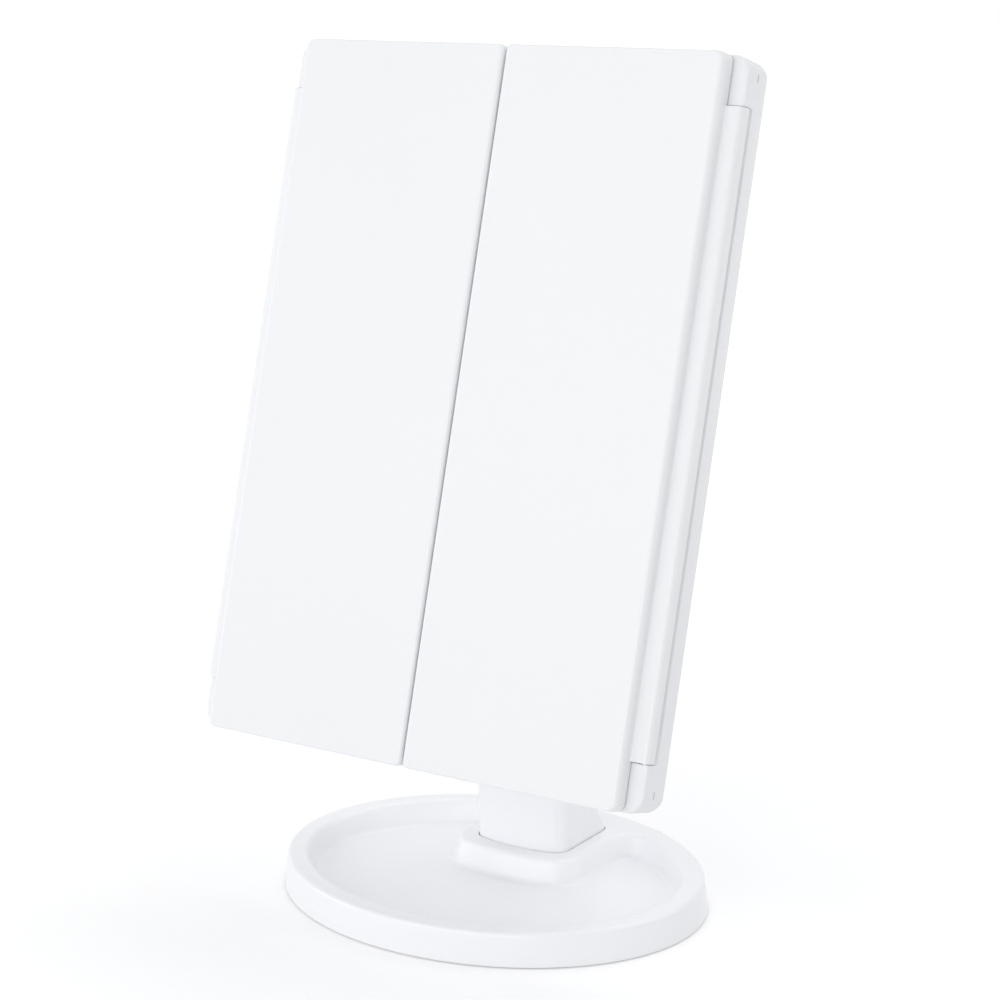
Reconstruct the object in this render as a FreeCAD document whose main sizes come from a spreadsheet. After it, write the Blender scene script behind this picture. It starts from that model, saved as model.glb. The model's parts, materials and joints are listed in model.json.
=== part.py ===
import FreeCAD, Part
import math
import os
import Sketcher

# Trifold vanity mirror on an oval tray base, stored with its two wings closed.
# World axes: +X to the viewer's right, +Y to the back, +Z up; the origin is under the
# middle of the base, on the table.  Pieces of the head are drawn in the head's own
# upright frame (x across, y from the wings' front face to the back, z up from the bottom
# edge) and are then leaned back about the tilt axle by their Placement.

os.makedirs("parts", exist_ok=True)
doc = FreeCAD.newDocument("TrifoldMirror")
sheet = doc.addObject("Spreadsheet::Sheet", "Sizes")

driving = {
    # base
    "baseLength": 156.4, "baseDepth": 121.6, "baseHeight": 11.7, "wallLean": 1.1,
    "footHeight": 0.5, "footRadius": 6.0, "footSpreadX": 46.0, "footSpreadY": 35.0,
    "plateThickness": 1.2, "plateInset": 3.0, "plateGap": 0.15,
    "rimWidth": 8.0, "rimRound": 1.4, "mouthRound": 2.0, "trayDepth": 8.3, "trayLean": 1.8,
    "trayRound": 2.4,
    "grooveWall": 2.4, "grooveWidth": 3.2, "grooveDepth": 7.4,
    "bossMargin": 6.5, "bossCorner": 9.0, "bossFlare": 8.0, "flareAngle": 114.0,
    "flareBury": 0.3, "bossBury": 1.0,
    # neck
    "neckWidth": 36.8, "neckFront": 13.6, "neckDepth": 33.5, "neckBow": 3.0,
    "neckCorner": 5.0, "socketGap": 0.35, "socketFloor": 4.7,
    "collarRise": 0.8, "uprightRise": 24.0, "uprightDepth": 20.2,
    "middleRise": 62.0, "middleShift": 12.5, "middleDepth": 15.6, "middleWidth": 31.0,
    "knuckleDrop": 4.0, "knuckleStep": 0.6, "neckScrewSpacing": 14.0, "neckScrewLength": 14.0,
    # tilt joint
    "pivotY": -4.4, "pivotHeight": 113.7, "pivotAlong": 64.0, "pivotBehind": 30.0,
    "tiltAngle": 17.0, "knuckleRadius": 8.5, "knuckleWidth": 26.8, "axleRadius": 3.0,
    "axleGap": 0.05, "washerThickness": 0.9, "washerRadius": 7.2, "washerGap": 0.1,
    "earThickness": 4.2, "earBelow": 14.0, "earAbove": 20.0, "capRadius": 5.4,
    "capThickness": 1.4, "capRound": 0.5,
    # front frame and rear cover of the body
    "bodyWidth": 176.4, "panelHeight": 238.0, "bodyFront": 5.9, "seamDepth": 12.6,
    "bodyBack": 21.2, "bodyCorner": 5.8, "bodyFrontRound": 1.1, "bodyBackRound": 4.0,
    "bodyWall": 2.0, "rimTop": 5.0, "rimSide": 8.2, "openingRound": 0.5,
    "hollowRound": 3.0, "notchDepth": 0.8, "notchWidth": 0.7, "notchLength": 2.6,
    "notchInset": 5.0,
    "humpMargin": 8.6, "humpBack": 27.5, "humpCorner": 7.0, "humpRound": 3.0,
    "pillarRadius": 3.2, "pillarFromSide": 23.2, "pillarZ": 12.0,
    "screwRadius": 1.3, "screwGap": 0.1, "screwHead": 2.6, "screwHeadHeight": 1.6,
    "screwSink": 1.9,
    # centre mirror, lights and touch button
    "glassRecess": 0.3, "glassThickness": 1.8, "lampBand": 8.8, "glassGap": 0.3,
    "webThickness": 1.6, "lampGap": 0.4, "lampBoardHalf": 3.4, "lampWindowHalf": 2.0,
    "lampMargin": 7.0, "lampWindowMargin": 10.0, "lampBoardThickness": 1.2,
    "ledWidth": 2.8, "ledLength": 3.5, "ledHeight": 1.1, "ledEndMargin": 14.0,
    "touchHeight": 20.0, "touchRadius": 9.0, "touchThickness": 1.2, "touchGap": 0.3,
    "ringOuter": 5.5, "ringInner": 4.4, "ringThickness": 0.2,
    # circuit board, switch and power inlet
    "boardWidth": 60.0, "boardHeight": 46.0, "boardBottom": 160.0, "boardThickness": 1.6,
    "boardLift": 2.4, "boardCorner": 2.0, "postRadius": 2.5, "postInset": 5.0,
    "chipSide": 8.0, "chipHeight": 1.2, "coilSide": 7.0, "coilHeight": 3.0, "coilX": 12.5,
    "coilDrop": 4.5, "plugLength": 10.0, "plugWidth": 6.0, "plugHeight": 4.0, "plugX": 19.0,
    "canRadius": 3.0, "canHeight": 5.0, "canX": 13.0, "canRise": 7.0, "lowCanX": 8.0,
    "lowCanDrop": 12.0,
    "switchX": 52.0, "switchHeight": 60.0, "knobWidth": 6.0, "knobHeight": 4.2,
    "knobProud": 1.4, "knobGrip": 0.6, "switchTravel": 3.0, "switchGap": 0.35,
    "switchCaseMargin": 2.0, "switchCaseDepth": 5.0,
    "inletX": -52.0, "inletHeight": 60.0, "inletHalf": 4.0, "inletTall": 1.6,
    "inletLength": 5.6, "inletWall": 0.5, "inletGap": 0.3, "inletFlange": 1.6,
    "inletEnd": 1.0, "tongueThickness": 0.6,
    # batteries
    "cellRadius": 5.25, "cellLength": 44.5, "cellPitch": 12.2, "nubRadius": 1.9,
    "nubLength": 1.0, "springLength": 3.0, "springRadius": 3.0, "springWire": 0.6, "springGap": 0.06,
    "contactThickness": 0.4, "contactHalf": 4.4, "bayBottom": 92.6, "bayFloor": 15.0,
    "bayWall": 1.4, "bayGap": 0.65, "cellLift": 0.1, "lidThickness": 1.7, "lidMargin": 2.6,
    "lidGap": 0.15, "lidRound": 2.0, "gripWidth": 14.0, "gripHeight": 5.0, "gripDepth": 0.8,
    "gripInset": 5.0, "gripCorner": 2.0,
    # wings
    "wingGap": 0.7, "wingInset": 5.9, "wingThickness": 5.4, "wingOuterRound": 2.0,
    "wingEdgeRound": 0.6, "wingCorner": 3.0, "wingInnerCorner": 0.9, "wingWall": 1.6,
    "frameGap": 0.1, "frameCorner": 2.0, "mirrorSeat": 3.3, "mirrorRecess": 0.1,
    "mirrorBorder": 5.2, "mirrorGap": 0.15, "mirrorCorner": 2.0, "windowMargin": 4.0,
    "magnifierBar": 7.0, "magnifierSplit": 109.0,
    "upperCurve": 1200.0, "upperHollow": 1.9, "lowerCurve": 820.0, "lowerHollow": 2.45,
    # curved hinge strips
    "stripFront": 4.45, "stripProud": 0.45, "stripBack": 9.3, "stripWall": 1.5,
    "stripBottom": 16.3, "stripTopInset": 16.5, "stripRound": 1.9, "stripFillet": 0.9,
    "stripTipRound": 0.6, "stripOverlap": 0.4, "stripBoss": 8.0, "stripBossRadius": 2.1,
    "ribSpacing": 41.0, "ribThickness": 1.2,
    "hingeInset": 2.0, "hingeDepth": 7.5, "channelRadius": 3.6, "channelGap": 0.4,
    "scoopOut": 2.2, "scoopDepth": 8.6, "scoopRadius": 3.7,
    "pinRadius": 1.0, "pinGap": 0.05, "pinReach": 6.0, "pinGrip": 6.5, "pinHole": 6.4,
}
for row, (name, value) in enumerate(driving.items(), start=1):
    sheet.set("A%d" % row, name)
    sheet.set("B%d" % row, str(value))
    sheet.setAlias("B%d" % row, name)
doc.recompute()


class Size:
    # A length or angle that carries its number and the sheet formula it follows.
    def __init__(self, number, formula):
        self.number = number
        self.formula = formula

    def __add__(self, other):
        return Size(self.number + number(other), "(%s + %s)" % (self.formula, formula(other)))

    def __radd__(self, other):
        return self + other

    def __sub__(self, other):
        return Size(self.number - number(other), "(%s - %s)" % (self.formula, formula(other)))

    def __rsub__(self, other):
        return -self + other

    def __mul__(self, other):
        return Size(self.number * number(other), "(%s * %s)" % (self.formula, formula(other)))

    def __rmul__(self, other):
        return self * other

    def __truediv__(self, other):
        return Size(self.number / number(other), "(%s / %s)" % (self.formula, formula(other)))

    def __neg__(self):
        return Size(-self.number, "(-1 * %s)" % self.formula)


def number(item):
    return item.number if isinstance(item, Size) else float(item)


def formula(item):
    return item.formula if isinstance(item, Size) else repr(float(item))


def size(name):
    return Size(float(sheet.get(name)), "Sizes." + name)


nothing = Size(0.0, "0.0")


def root(item):
    return Size(math.sqrt(number(item)), "sqrt(%s)" % formula(item))


def bind(thing, prop, item):
    if isinstance(item, Size):
        thing.setExpression(prop, item.formula)
    else:
        setattr(thing, prop, item)


# ---- sketch outlines -------------------------------------------------------------------

def hold(sketch, shape, point, x, y):
    # ties one sketch point to its coordinates
    for kind, axis, item in (("DistanceX", -2, x), ("DistanceY", -1, y)):
        if number(item) == 0:
            sketch.addConstraint(Sketcher.Constraint("PointOnObject", shape, point, axis))
            continue
        row = sketch.addConstraint(Sketcher.Constraint(kind, -1, 1, shape, point, number(item)))
        if isinstance(item, Size):
            sketch.setExpression("Constraints[%d]" % row, item.formula)


def vector(x, y):
    return FreeCAD.Vector(number(x), number(y), 0)


def polygon(*corners):
    def draw(sketch):
        first = sketch.GeometryCount
        count = len(corners)
        for i, corner in enumerate(corners):
            following = corners[(i + 1) % count]
            sketch.addGeometry(Part.LineSegment(vector(*corner), vector(*following)), False)
        for i, corner in enumerate(corners):
            sketch.addConstraint(
                Sketcher.Constraint("Coincident", first + i, 2, first + (i + 1) % count, 1))
            hold(sketch, first + i, 1, *corner)
    return draw


def rectangle(x0, x1, y0, y1):
    return polygon((x0, y0), (x1, y0), (x1, y1), (x0, y1))


def roundedBox(x0, x1, y0, y1, radius, rightRadius=None):
    # a rectangle with round corners, which may be larger on the right than on the left
    left, right = radius, radius if rightRadius is None else rightRadius
    turns = [((x0 + left, y0), (x1 - right, y0)), ((x1, y0 + right), (x1, y1 - right)),
             ((x1 - right, y1), (x0 + left, y1)), ((x0, y1 - left), (x0, y0 + left))]
    corners = [(x1, y0, right), (x1, y1, right), (x0, y1, left), (x0, y0, left)]

    def draw(sketch):
        first = sketch.GeometryCount
        for start, end in turns:
            sketch.addGeometry(Part.LineSegment(vector(*start), vector(*end)), False)
        for i, (x, y, bend) in enumerate(corners):
            start, end = vector(*turns[i][1]), vector(*turns[(i + 1) % 4][0])
            toCentre = start + end - vector(x, y) * 2
            middle = vector(x, y) + toCentre * (1 - math.sqrt(0.5))
            sketch.addGeometry(Part.Arc(start, middle, end), False)
        for i, (start, end) in enumerate(turns):
            hold(sketch, first + i, 1, *start)
            hold(sketch, first + i, 2, *end)
            arc, bend = first + 4 + i, corners[i][2]
            sketch.addConstraint(Sketcher.Constraint("Coincident", first + i, 2, arc, 1))
            sketch.addConstraint(
                Sketcher.Constraint("Coincident", first + (i + 1) % 4, 1, arc, 2))
            row = sketch.addConstraint(Sketcher.Constraint("Radius", arc, number(bend)))
            if isinstance(bend, Size):
                sketch.setExpression("Constraints[%d]" % row, bend.formula)
    return draw


def circle(x, y, radius):
    def draw(sketch):
        shape = sketch.addGeometry(Part.Circle(vector(x, y), FreeCAD.Vector(0, 0, 1),
                                               number(radius)), False)
        hold(sketch, shape, 3, x, y)
        row = sketch.addConstraint(Sketcher.Constraint("Radius", shape, number(radius)))
        if isinstance(radius, Size):
            sketch.setExpression("Constraints[%d]" % row, radius.formula)
    return draw


def ellipse(halfLength, halfDepth):
    def draw(sketch):
        shape = sketch.addGeometry(Part.Ellipse(FreeCAD.Vector(0, 0, 0), number(halfLength),
                                                number(halfDepth)), False)
        sketch.exposeInternalGeometry(shape)
        sketch.addConstraint(Sketcher.Constraint("Coincident", shape, 3, -1, 1))
        sketch.addConstraint(Sketcher.Constraint("Horizontal", shape + 1))
        for line, half in ((shape + 1, halfLength), (shape + 2, halfDepth)):
            row = sketch.addConstraint(
                Sketcher.Constraint("Distance", line, 1, line, 2, 2 * number(half)))
            sketch.setExpression("Constraints[%d]" % row, (half * 2).formula)
    return draw


def bossOutline(half, front, back, bend, corner, flare, flareY):
    # the boss seen from above: bowed front, round corners, and sides that flare out into
    # the rim; every round runs smoothly into its neighbours
    r, x, f = number(corner), number(half), number(flare)
    centreY = number(front + bend)
    reach = number(bend) - r
    inset = x - r
    turnY = centreY - math.sqrt(reach ** 2 - inset ** 2)
    touch = inset * number(bend) / reach
    touchY = centreY - math.sqrt(number(bend) ** 2 - touch ** 2)
    slant = math.atan2(turnY - touchY, touch - inset) / 2
    bulge = (inset + r * math.cos(slant), turnY - r * math.sin(slant))
    sweep = math.radians(size("flareAngle").number)
    flareEnd = half + flare * (1 - math.cos(sweep))
    end = (x + f - f * math.cos(sweep), number(flareY) + f * math.sin(sweep))
    belly = (x + f - f * math.cos(sweep / 2), number(flareY) + f * math.sin(sweep / 2))

    def arc(a, b, c, side=1):
        return Part.Arc(*[vector(px * side, py) for px, py in (a, b, c)])

    def line(a, b):
        return Part.LineSegment(vector(*a), vector(*b))

    def draw(sketch):
        y, tip = number(flareY), end[0]
        sketch.addGeometry([
            arc((-touch, touchY), (0, number(front)), (touch, touchY)),
            arc((touch, touchY), bulge, (x, turnY)),
            line((x, turnY), (x, y)),
            arc((x, y), belly, end),
            line(end, (tip, back)),
            line((tip, back), (-tip, back)),
            line((-tip, back), (-tip, end[1])),
            arc(end, belly, (x, y), -1),
            line((-x, y), (-x, turnY)),
            arc((x, turnY), bulge, (touch, touchY), -1),
        ], False)
        # neighbours meet smoothly, apart from the straight lines inside the rim
        for a in range(10):
            b = (a + 1) % 10
            ends = [(m, n) for m in (1, 2) for n in (1, 2)
                    if sketch.getPoint(a, m).distanceToPoint(sketch.getPoint(b, n)) < 1e-6]
            kind = "Coincident" if {a, b} & {4, 5, 6} else "Tangent"
            sketch.addConstraint(Sketcher.Constraint(kind, a, ends[0][0], b, ends[0][1]))
        hold(sketch, 0, 3, 0, front + bend)
        for shape, item in ((0, bend), (1, corner), (9, corner), (3, flare), (7, flare)):
            row = sketch.addConstraint(Sketcher.Constraint("Radius", shape, number(item)))
            sketch.setExpression("Constraints[%d]" % row, item.formula)
        for shape, side in ((2, 1), (8, -1)):
            sketch.addConstraint(Sketcher.Constraint("Vertical", shape))
            tie(sketch, "DistanceX", shape, 1, half * side)
        for shape in (3, 7):
            tie(sketch, "DistanceY", shape, 3, flareY)
        for shape, side in ((4, 1), (6, -1)):
            sketch.addConstraint(Sketcher.Constraint("Vertical", shape))
            tie(sketch, "DistanceX", shape, 1, flareEnd * side)
        sketch.addConstraint(Sketcher.Constraint("Horizontal", 5))
        tie(sketch, "DistanceY", 5, 1, back)
    return draw


def tie(sketch, kind, shape, point, item):
    # one coordinate of one sketch point
    row = sketch.addConstraint(Sketcher.Constraint(kind, -1, 1, shape, point, number(item)))
    sketch.setExpression("Constraints[%d]" % row, item.formula)


def neckOutline(half, front, back, bow, corner):
    # the bowed outline with round corners; every round runs smoothly into its neighbours
    bend = (half * half + bow * bow) / (bow * 2)
    reach = number(bend) - number(corner)
    inset = number(half) - number(corner)
    centreY = number(front) + number(bend) - math.sqrt(reach ** 2 - inset ** 2)
    touch = inset * number(bend) / reach
    touchY = number(front) + number(bend) - math.sqrt(number(bend) ** 2 - touch ** 2)
    slant = math.atan2(centreY - touchY, touch - inset) / 2
    r, x, y = number(corner), number(half), number(back)
    frontMiddle = (inset + r * math.cos(slant), centreY - r * math.sin(slant))
    backMiddle = (x - r + r * math.sqrt(0.5), y - r + r * math.sqrt(0.5))

    def arc(a, b, c):
        return Part.Arc(vector(*a), vector(*b), vector(*c))

    def draw(sketch):
        sketch.addGeometry([
            arc((-touch, touchY), (0, front), (touch, touchY)),
            arc((touch, touchY), frontMiddle, (x, centreY)),
            Part.LineSegment(vector(x, centreY), vector(x, y - r)),
            arc((x, y - r), backMiddle, (x - r, y)),
            Part.LineSegment(vector(x - r, y), vector(r - x, y)),
            arc((r - x, y), (-backMiddle[0], backMiddle[1]), (-x, y - r)),
            Part.LineSegment(vector(-x, y - r), vector(-x, centreY)),
            arc((-x, centreY), (-frontMiddle[0], frontMiddle[1]), (-touch, touchY)),
        ], False)
        for i in range(8):
            j = (i + 1) % 8
            sketch.addConstraint(Sketcher.Constraint("Tangent", i, 2, j, 1))
        for shape, kind, item in ((2, "DistanceX", half), (6, "DistanceX", -half),
                                  (4, "DistanceY", back), (0, "Radius", bend),
                                  (1, "Radius", corner), (3, "Radius", corner),
                                  (5, "Radius", corner), (7, "Radius", corner)):
            ends = () if kind == "Radius" else (-1, 1)
            place = (shape,) if kind == "Radius" else (shape, 1)
            row = sketch.addConstraint(
                Sketcher.Constraint(kind, *ends, *place, number(item)))
            sketch.setExpression("Constraints[%d]" % row, item.formula)
        hold(sketch, 0, 3, 0, front + bend)
        for line, way in ((2, "Vertical"), (6, "Vertical"), (4, "Horizontal")):
            sketch.addConstraint(Sketcher.Constraint(way, line))
    return draw


# ---- bodies and features ---------------------------------------------------------------

nodes = {}


def newBody(label, manySolids=False):
    body = doc.addObject("PartDesign::Body", label)
    body.Label = label
    body.AllowCompound = manySolids
    nodes[label] = body
    return body


def newSketch(body, plane, offset, *outlines):
    sketch = body.newObject("Sketcher::SketchObject", "Sketch")
    role = plane + "_Plane"
    support = next(item for item in body.Origin.OriginFeatures if item.Role == role)
    sketch.AttachmentSupport = [(support, "")]
    sketch.MapMode = "FlatFace"
    if plane == "XZ":
        offset = -offset    # this plane's own normal points to -Y
    bind(sketch, "AttachmentOffset.Base.z", offset if isinstance(offset, Size)
         else Size(offset, repr(float(offset))))
    for outline in outlines:
        outline(sketch)
    return sketch


def add(body, plane, low, high, *outlines):
    pad = body.newObject("PartDesign::Pad", "Pad")
    pad.Profile = newSketch(body, plane, low, *outlines)
    bind(pad, "Length", high - low)
    pad.Reversed = plane == "XZ"
    body.Tip = pad
    return pad


def cut(body, plane, low, high, *outlines):
    doc.recompute()
    before = body.Shape.Volume
    pocket = body.newObject("PartDesign::Pocket", "Pocket")
    pocket.Profile = newSketch(body, plane, low, *outlines)
    bind(pocket, "Length", high - low)
    pocket.Reversed = plane != "XZ"
    body.Tip = pocket
    doc.recompute()
    if body.Shape.Volume > before - 1e-3:
        raise RuntimeError("a pocket in %s removes nothing" % body.Label)
    return pocket


def loft(body, kind, sketches, ruled=True):
    feature = body.newObject("PartDesign::" + kind, kind)
    feature.Profile = sketches[0]
    feature.Sections = sketches[1:]
    feature.Ruled = ruled
    body.Tip = feature
    return feature


def roundEdges(body, radius, chosen, kind="Fillet"):
    doc.recompute()
    base = body.Tip
    names = ["Edge%d" % (i + 1) for i, edge in enumerate(base.Shape.Edges) if chosen(edge)]
    if not names:
        raise RuntimeError("no edge to round in " + body.Label)
    feature = body.newObject("PartDesign::" + kind, kind)
    feature.Base = (base, names)
    bind(feature, "Radius" if kind == "Fillet" else "Size", radius)
    body.Tip = feature
    doc.recompute()
    if feature.Shape.isNull() or not feature.isValid():
        raise RuntimeError("rounding failed in %s at radius %s" % (body.Label, number(radius)))
    return feature


def turns(radius, steps=3):
    # how far a rounded edge has come inwards and onwards at each step of its quarter turn
    angles = [math.pi / 2 * i / steps for i in range(steps + 1)]
    return [(radius * (1 - math.cos(angle)), radius * math.sin(angle)) for angle in angles]


def slab(body, low, high, box, corner, radius, rounded):
    # a thick plate with round corners whose front or back edge is rounded
    x0, x1, z0, z1 = box
    steps = [(high - radius + onward, inward) for inward, onward in turns(radius)]
    steps.insert(0, (low, nothing))
    if rounded == "front":
        steps = [(low + radius - onward, inward) for inward, onward in reversed(turns(radius))]
        steps.append((high, nothing))
    loft(body, "AdditiveLoft", [
        newSketch(body, "XZ", y, roundedBox(x0 + inward, x1 - inward, z0 + inward,
                                            z1 - inward, corner - inward))
        for y, inward in steps])


def near(a, b, slack=0.02):
    return abs(a - number(b)) < slack


def runsAlong(edge, axis):
    box = edge.BoundBox
    spans = {"x": box.XLength, "y": box.YLength, "z": box.ZLength}
    along = spans.pop(axis)
    return along > 0.1 and max(spans.values()) < 1e-3


def alongAt(axis, **place):
    # edges that run along one axis and pass through the given coordinates
    def chosen(edge):
        point = edge.CenterOfMass
        at = {"x": point.x, "y": point.y, "z": point.z}
        return runsAlong(edge, axis) and all(near(at[key], value)
                                             for key, value in place.items())
    return chosen


def lean(thing):
    # puts a piece drawn in the head's upright frame into its place on the tilt axle
    thing.setExpression(
        "Placement",
        "placement(vector(0; Sizes.pivotY; Sizes.pivotHeight);"
        " rotation(vector(1; 0; 0); -Sizes.tiltAngle))"
        " * placement(vector(0; -Sizes.pivotBehind; -Sizes.pivotAlong);"
        " rotation(vector(1; 0; 0); 0))")


def headBody(label, manySolids=False):
    body = newBody(label, manySolids)
    lean(body)
    return body


# ---- shared sizes ----------------------------------------------------------------------

baseHalfX = size("baseLength") / 2
baseHalfY = size("baseDepth") / 2
baseTop = size("baseHeight")
trayFloor = baseTop - size("trayDepth")
footTop = size("footHeight")
plateTop = footTop + size("plateThickness")
neckHalf = size("neckWidth") / 2
neckFront = size("neckFront")
neckBack = neckFront + size("neckDepth")
panelTop = size("panelHeight")
bodyHalf = size("bodyWidth") / 2
bodyFront = size("bodyFront")
seam = size("seamDepth")
bodyBack = size("bodyBack")
bodyWall = size("bodyWall")
innerBack = bodyBack - bodyWall
glassFront = bodyFront + size("glassRecess")
glassSeat = glassFront + size("glassThickness")
webBack = glassSeat + size("webThickness")
openingHalf = bodyHalf - size("rimSide")
glassHalf = openingHalf - size("lampBand")
openingBottom = size("rimTop")
openingTop = panelTop - size("rimTop")
lampInner = glassHalf + size("lampGap")
lampOuter = openingHalf - size("lampGap") / 2
lampMiddle = (lampInner + lampOuter) / 2
hingeX = bodyHalf - size("hingeInset")
hingeDepth = size("hingeDepth")
stripBottom = size("stripBottom")
stripTop = panelTop - size("stripTopInset")
channelBottom = stripBottom - size("channelGap")
channelTop = stripTop + size("channelGap")
knuckleHalf = size("knuckleWidth") / 2
earInner = knuckleHalf + size("washerThickness") + size("washerGap")
earOuter = earInner + size("earThickness")
pivotAlong = size("pivotAlong")
pivotBehind = size("pivotBehind")
screwHole = size("screwRadius") + size("screwGap")
screwHeadHole = size("screwHead") + size("screwGap") * 3
bayBottom = size("bayBottom")
bayHalf = (size("cellLength") + size("springLength") + size("nubLength")) / 2 \
    + size("contactThickness")
cellZ = [bayBottom + size("bayGap") + size("cellRadius") + size("cellPitch") * i
         for i in range(4)]
bayTop = cellZ[-1] + size("cellRadius") + size("bayGap")
cellY = size("bayFloor") + size("cellLift") + size("cellRadius")
lidHalf = bayHalf + size("lidMargin")
lidBottom = bayBottom - size("lidMargin")
lidTop = bayTop + size("lidMargin")
lidSeat = size("humpBack") - size("lidThickness")
humpHalf = bayHalf + size("humpMargin")
humpBottom = bayBottom - size("humpMargin")
humpTop = bayTop + size("humpMargin")
pillars = [((bodyHalf - size("pillarFromSide")) * side, z) for side in (-1, 1)
           for z in (size("pillarZ"), panelTop / 2, panelTop - size("pillarZ"))]
sides = {"left": -1, "right": 1}


def across(side, inner, outer):
    # the two x values of a span on the left (-1) or right (1), the smaller first
    return (inner, outer) if side > 0 else (-outer, -inner)


# ---- base ------------------------------------------------------------------------------

def makeTray():
    tray = newBody("base_tray")
    topX, topY = baseHalfX - size("wallLean"), baseHalfY - size("wallLean")
    rim = size("rimRound")
    wall = [(footTop, ellipse(baseHalfX, baseHalfY))]
    wall += [(baseTop - rim + onward, ellipse(topX - inward, topY - inward))
             for inward, onward in turns(rim)]
    loft(tray, "AdditiveLoft", [newSketch(tray, "XY", z, outline) for z, outline in wall])
    # the dish: a soft lip, a wall that leans in a little, and a round foot
    mouthX, mouthY = topX - size("rimWidth"), topY - size("rimWidth")
    lip, foot = size("mouthRound"), size("trayRound")
    levels = [(baseTop - inward, lip - onward) for inward, onward in turns(lip)]
    levels += [(trayFloor + foot - onward, -inward - size("trayLean"))
               for inward, onward in turns(foot)]
    loft(tray, "SubtractiveLoft", [newSketch(tray, "XY", z, ellipse(mouthX + out, mouthY + out))
                                   for z, out in levels])
    # the boss round the neck has the same profile and flares back into the rim
    half = neckHalf + size("bossMargin")
    front = neckFront - size("bossMargin")
    bow, flare = size("neckBow"), size("bossFlare")
    bend = (half * half + bow * bow) / (bow * 2)
    sweep = math.radians(size("flareAngle").number)
    endX = half + flare * (1 - math.cos(sweep))
    wallY = mouthY * root(1 - endX * endX / (mouthX * mouthX))
    flareY = wallY + size("flareBury") - flare * math.sin(sweep)
    back = mouthY + size("bossBury")
    loft(tray, "AdditiveLoft", [
        newSketch(tray, "XY", z, bossOutline(half - out, front + out, back, bend - out,
                                             size("bossCorner") - out, flare + out, flareY))
        for z, out in reversed(levels)])


def hollowTray():
    # underside: the seat of the weight plate and a groove that lightens the rim
    tray = nodes["base_tray"]
    plateX, plateY = baseHalfX - size("plateInset"), baseHalfY - size("plateInset")
    cut(tray, "XY", footTop, plateTop, ellipse(plateX, plateY))
    grooveX = baseHalfX - size("wallLean") - size("grooveWall")
    grooveY = baseHalfY - size("wallLean") - size("grooveWall")
    width = size("grooveWidth")
    cut(tray, "XY", plateTop, plateTop + size("grooveDepth"), ellipse(grooveX, grooveY),
        ellipse(grooveX - width, grooveY - width))
    # the socket of the neck and the holes of its two screws
    gap = size("socketGap")
    cut(tray, "XY", size("socketFloor"), baseTop,
        neckOutline(neckHalf + gap, neckFront - gap, neckBack + gap, size("neckBow"),
                    size("neckCorner") + gap))
    cut(tray, "XY", plateTop, size("socketFloor"),
        *[circle(0, y, screwHole) for y in neckScrewRows])
    cut(tray, "XY", plateTop, plateTop + size("screwHeadHeight") + size("screwGap"),
        *[circle(0, y, screwHeadHole) for y in neckScrewRows])

    plate = newBody("base_plate")
    plateGap = size("plateGap")
    add(plate, "XY", footTop, plateTop - plateGap, ellipse(plateX - plateGap, plateY - plateGap))
    feet = newBody("foot_pads", True)
    add(feet, "XY", 0, footTop, *[circle(size("footSpreadX") * x, size("footSpreadY") * y,
                                         size("footRadius")) for x in (-1, 1) for y in (-1, 1)])


neckScrewRows = [neckFront + size("neckDepth") / 2 + size("neckScrewSpacing") / 2 * side
                 for side in (-1, 1)]
makeTray()
hollowTray()


# ---- neck ------------------------------------------------------------------------------

def makeNeck():
    neck = newBody("neck_column")
    collar = baseTop + size("collarRise")
    upright = baseTop + size("uprightRise")
    middle = baseTop + size("middleRise")
    top = size("pivotHeight") - size("knuckleDrop")
    topHalfDepth = Size(math.sqrt(size("knuckleRadius").number ** 2
                                  - size("knuckleDrop").number ** 2),
                        "sqrt(Sizes.knuckleRadius ^ 2 - Sizes.knuckleDrop ^ 2)")
    middleFront = neckFront - size("middleShift")
    bow = size("neckBow")
    corner = size("neckCorner")
    sections = [
        (collar, neckOutline(neckHalf, neckFront, neckBack, bow, corner)),
        (upright, neckOutline(neckHalf, neckFront, neckFront + size("uprightDepth"), bow,
                              corner)),
        (middle, neckOutline(size("middleWidth") / 2, middleFront,
                             middleFront + size("middleDepth"), bow / 2, corner)),
        (top, neckOutline(knuckleHalf - size("knuckleStep"), size("pivotY") - topHalfDepth,
                          size("pivotY") + topHalfDepth, bow / 4, corner / 2)),
    ]
    add(neck, "XY", size("socketFloor"), collar, sections[0][1])
    for (low, lowOutline), (high, highOutline) in zip(sections, sections[1:]):
        loft(neck, "AdditiveLoft", [newSketch(neck, "XY", low, lowOutline),
                                    newSketch(neck, "XY", high, highOutline)])
    knuckle = circle(size("pivotY"), size("pivotHeight"), size("knuckleRadius"))
    add(neck, "YZ", -knuckleHalf, knuckleHalf, knuckle)
    cut(neck, "YZ", -knuckleHalf, knuckleHalf,
        circle(size("pivotY"), size("pivotHeight"), size("axleRadius") + size("axleGap")))
    # the pilot holes of the two screws
    cut(neck, "XY", size("socketFloor"), size("socketFloor") + size("neckScrewLength"),
        *[circle(0, y, screwHole) for y in neckScrewRows])

    screws = newBody("neck_screws", True)
    headTop = plateTop + size("screwHeadHeight")
    add(screws, "XY", plateTop, headTop, *[circle(0, y, size("screwHead")) for y in neckScrewRows])
    add(screws, "XY", headTop, plateTop + size("neckScrewLength"),
        *[circle(0, y, size("screwRadius")) for y in neckScrewRows])

    washers = newBody("friction_washers", True)
    for low, high in ((knuckleHalf, knuckleHalf + size("washerThickness")),
                      (-knuckleHalf - size("washerThickness"), -knuckleHalf)):
        add(washers, "YZ", low, high,
            circle(size("pivotY"), size("pivotHeight"), size("washerRadius")),
            circle(size("pivotY"), size("pivotHeight"), size("axleRadius") + size("axleGap")))


makeNeck()


# ---- tilt axle, carried by the head ----------------------------------------------------

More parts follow.
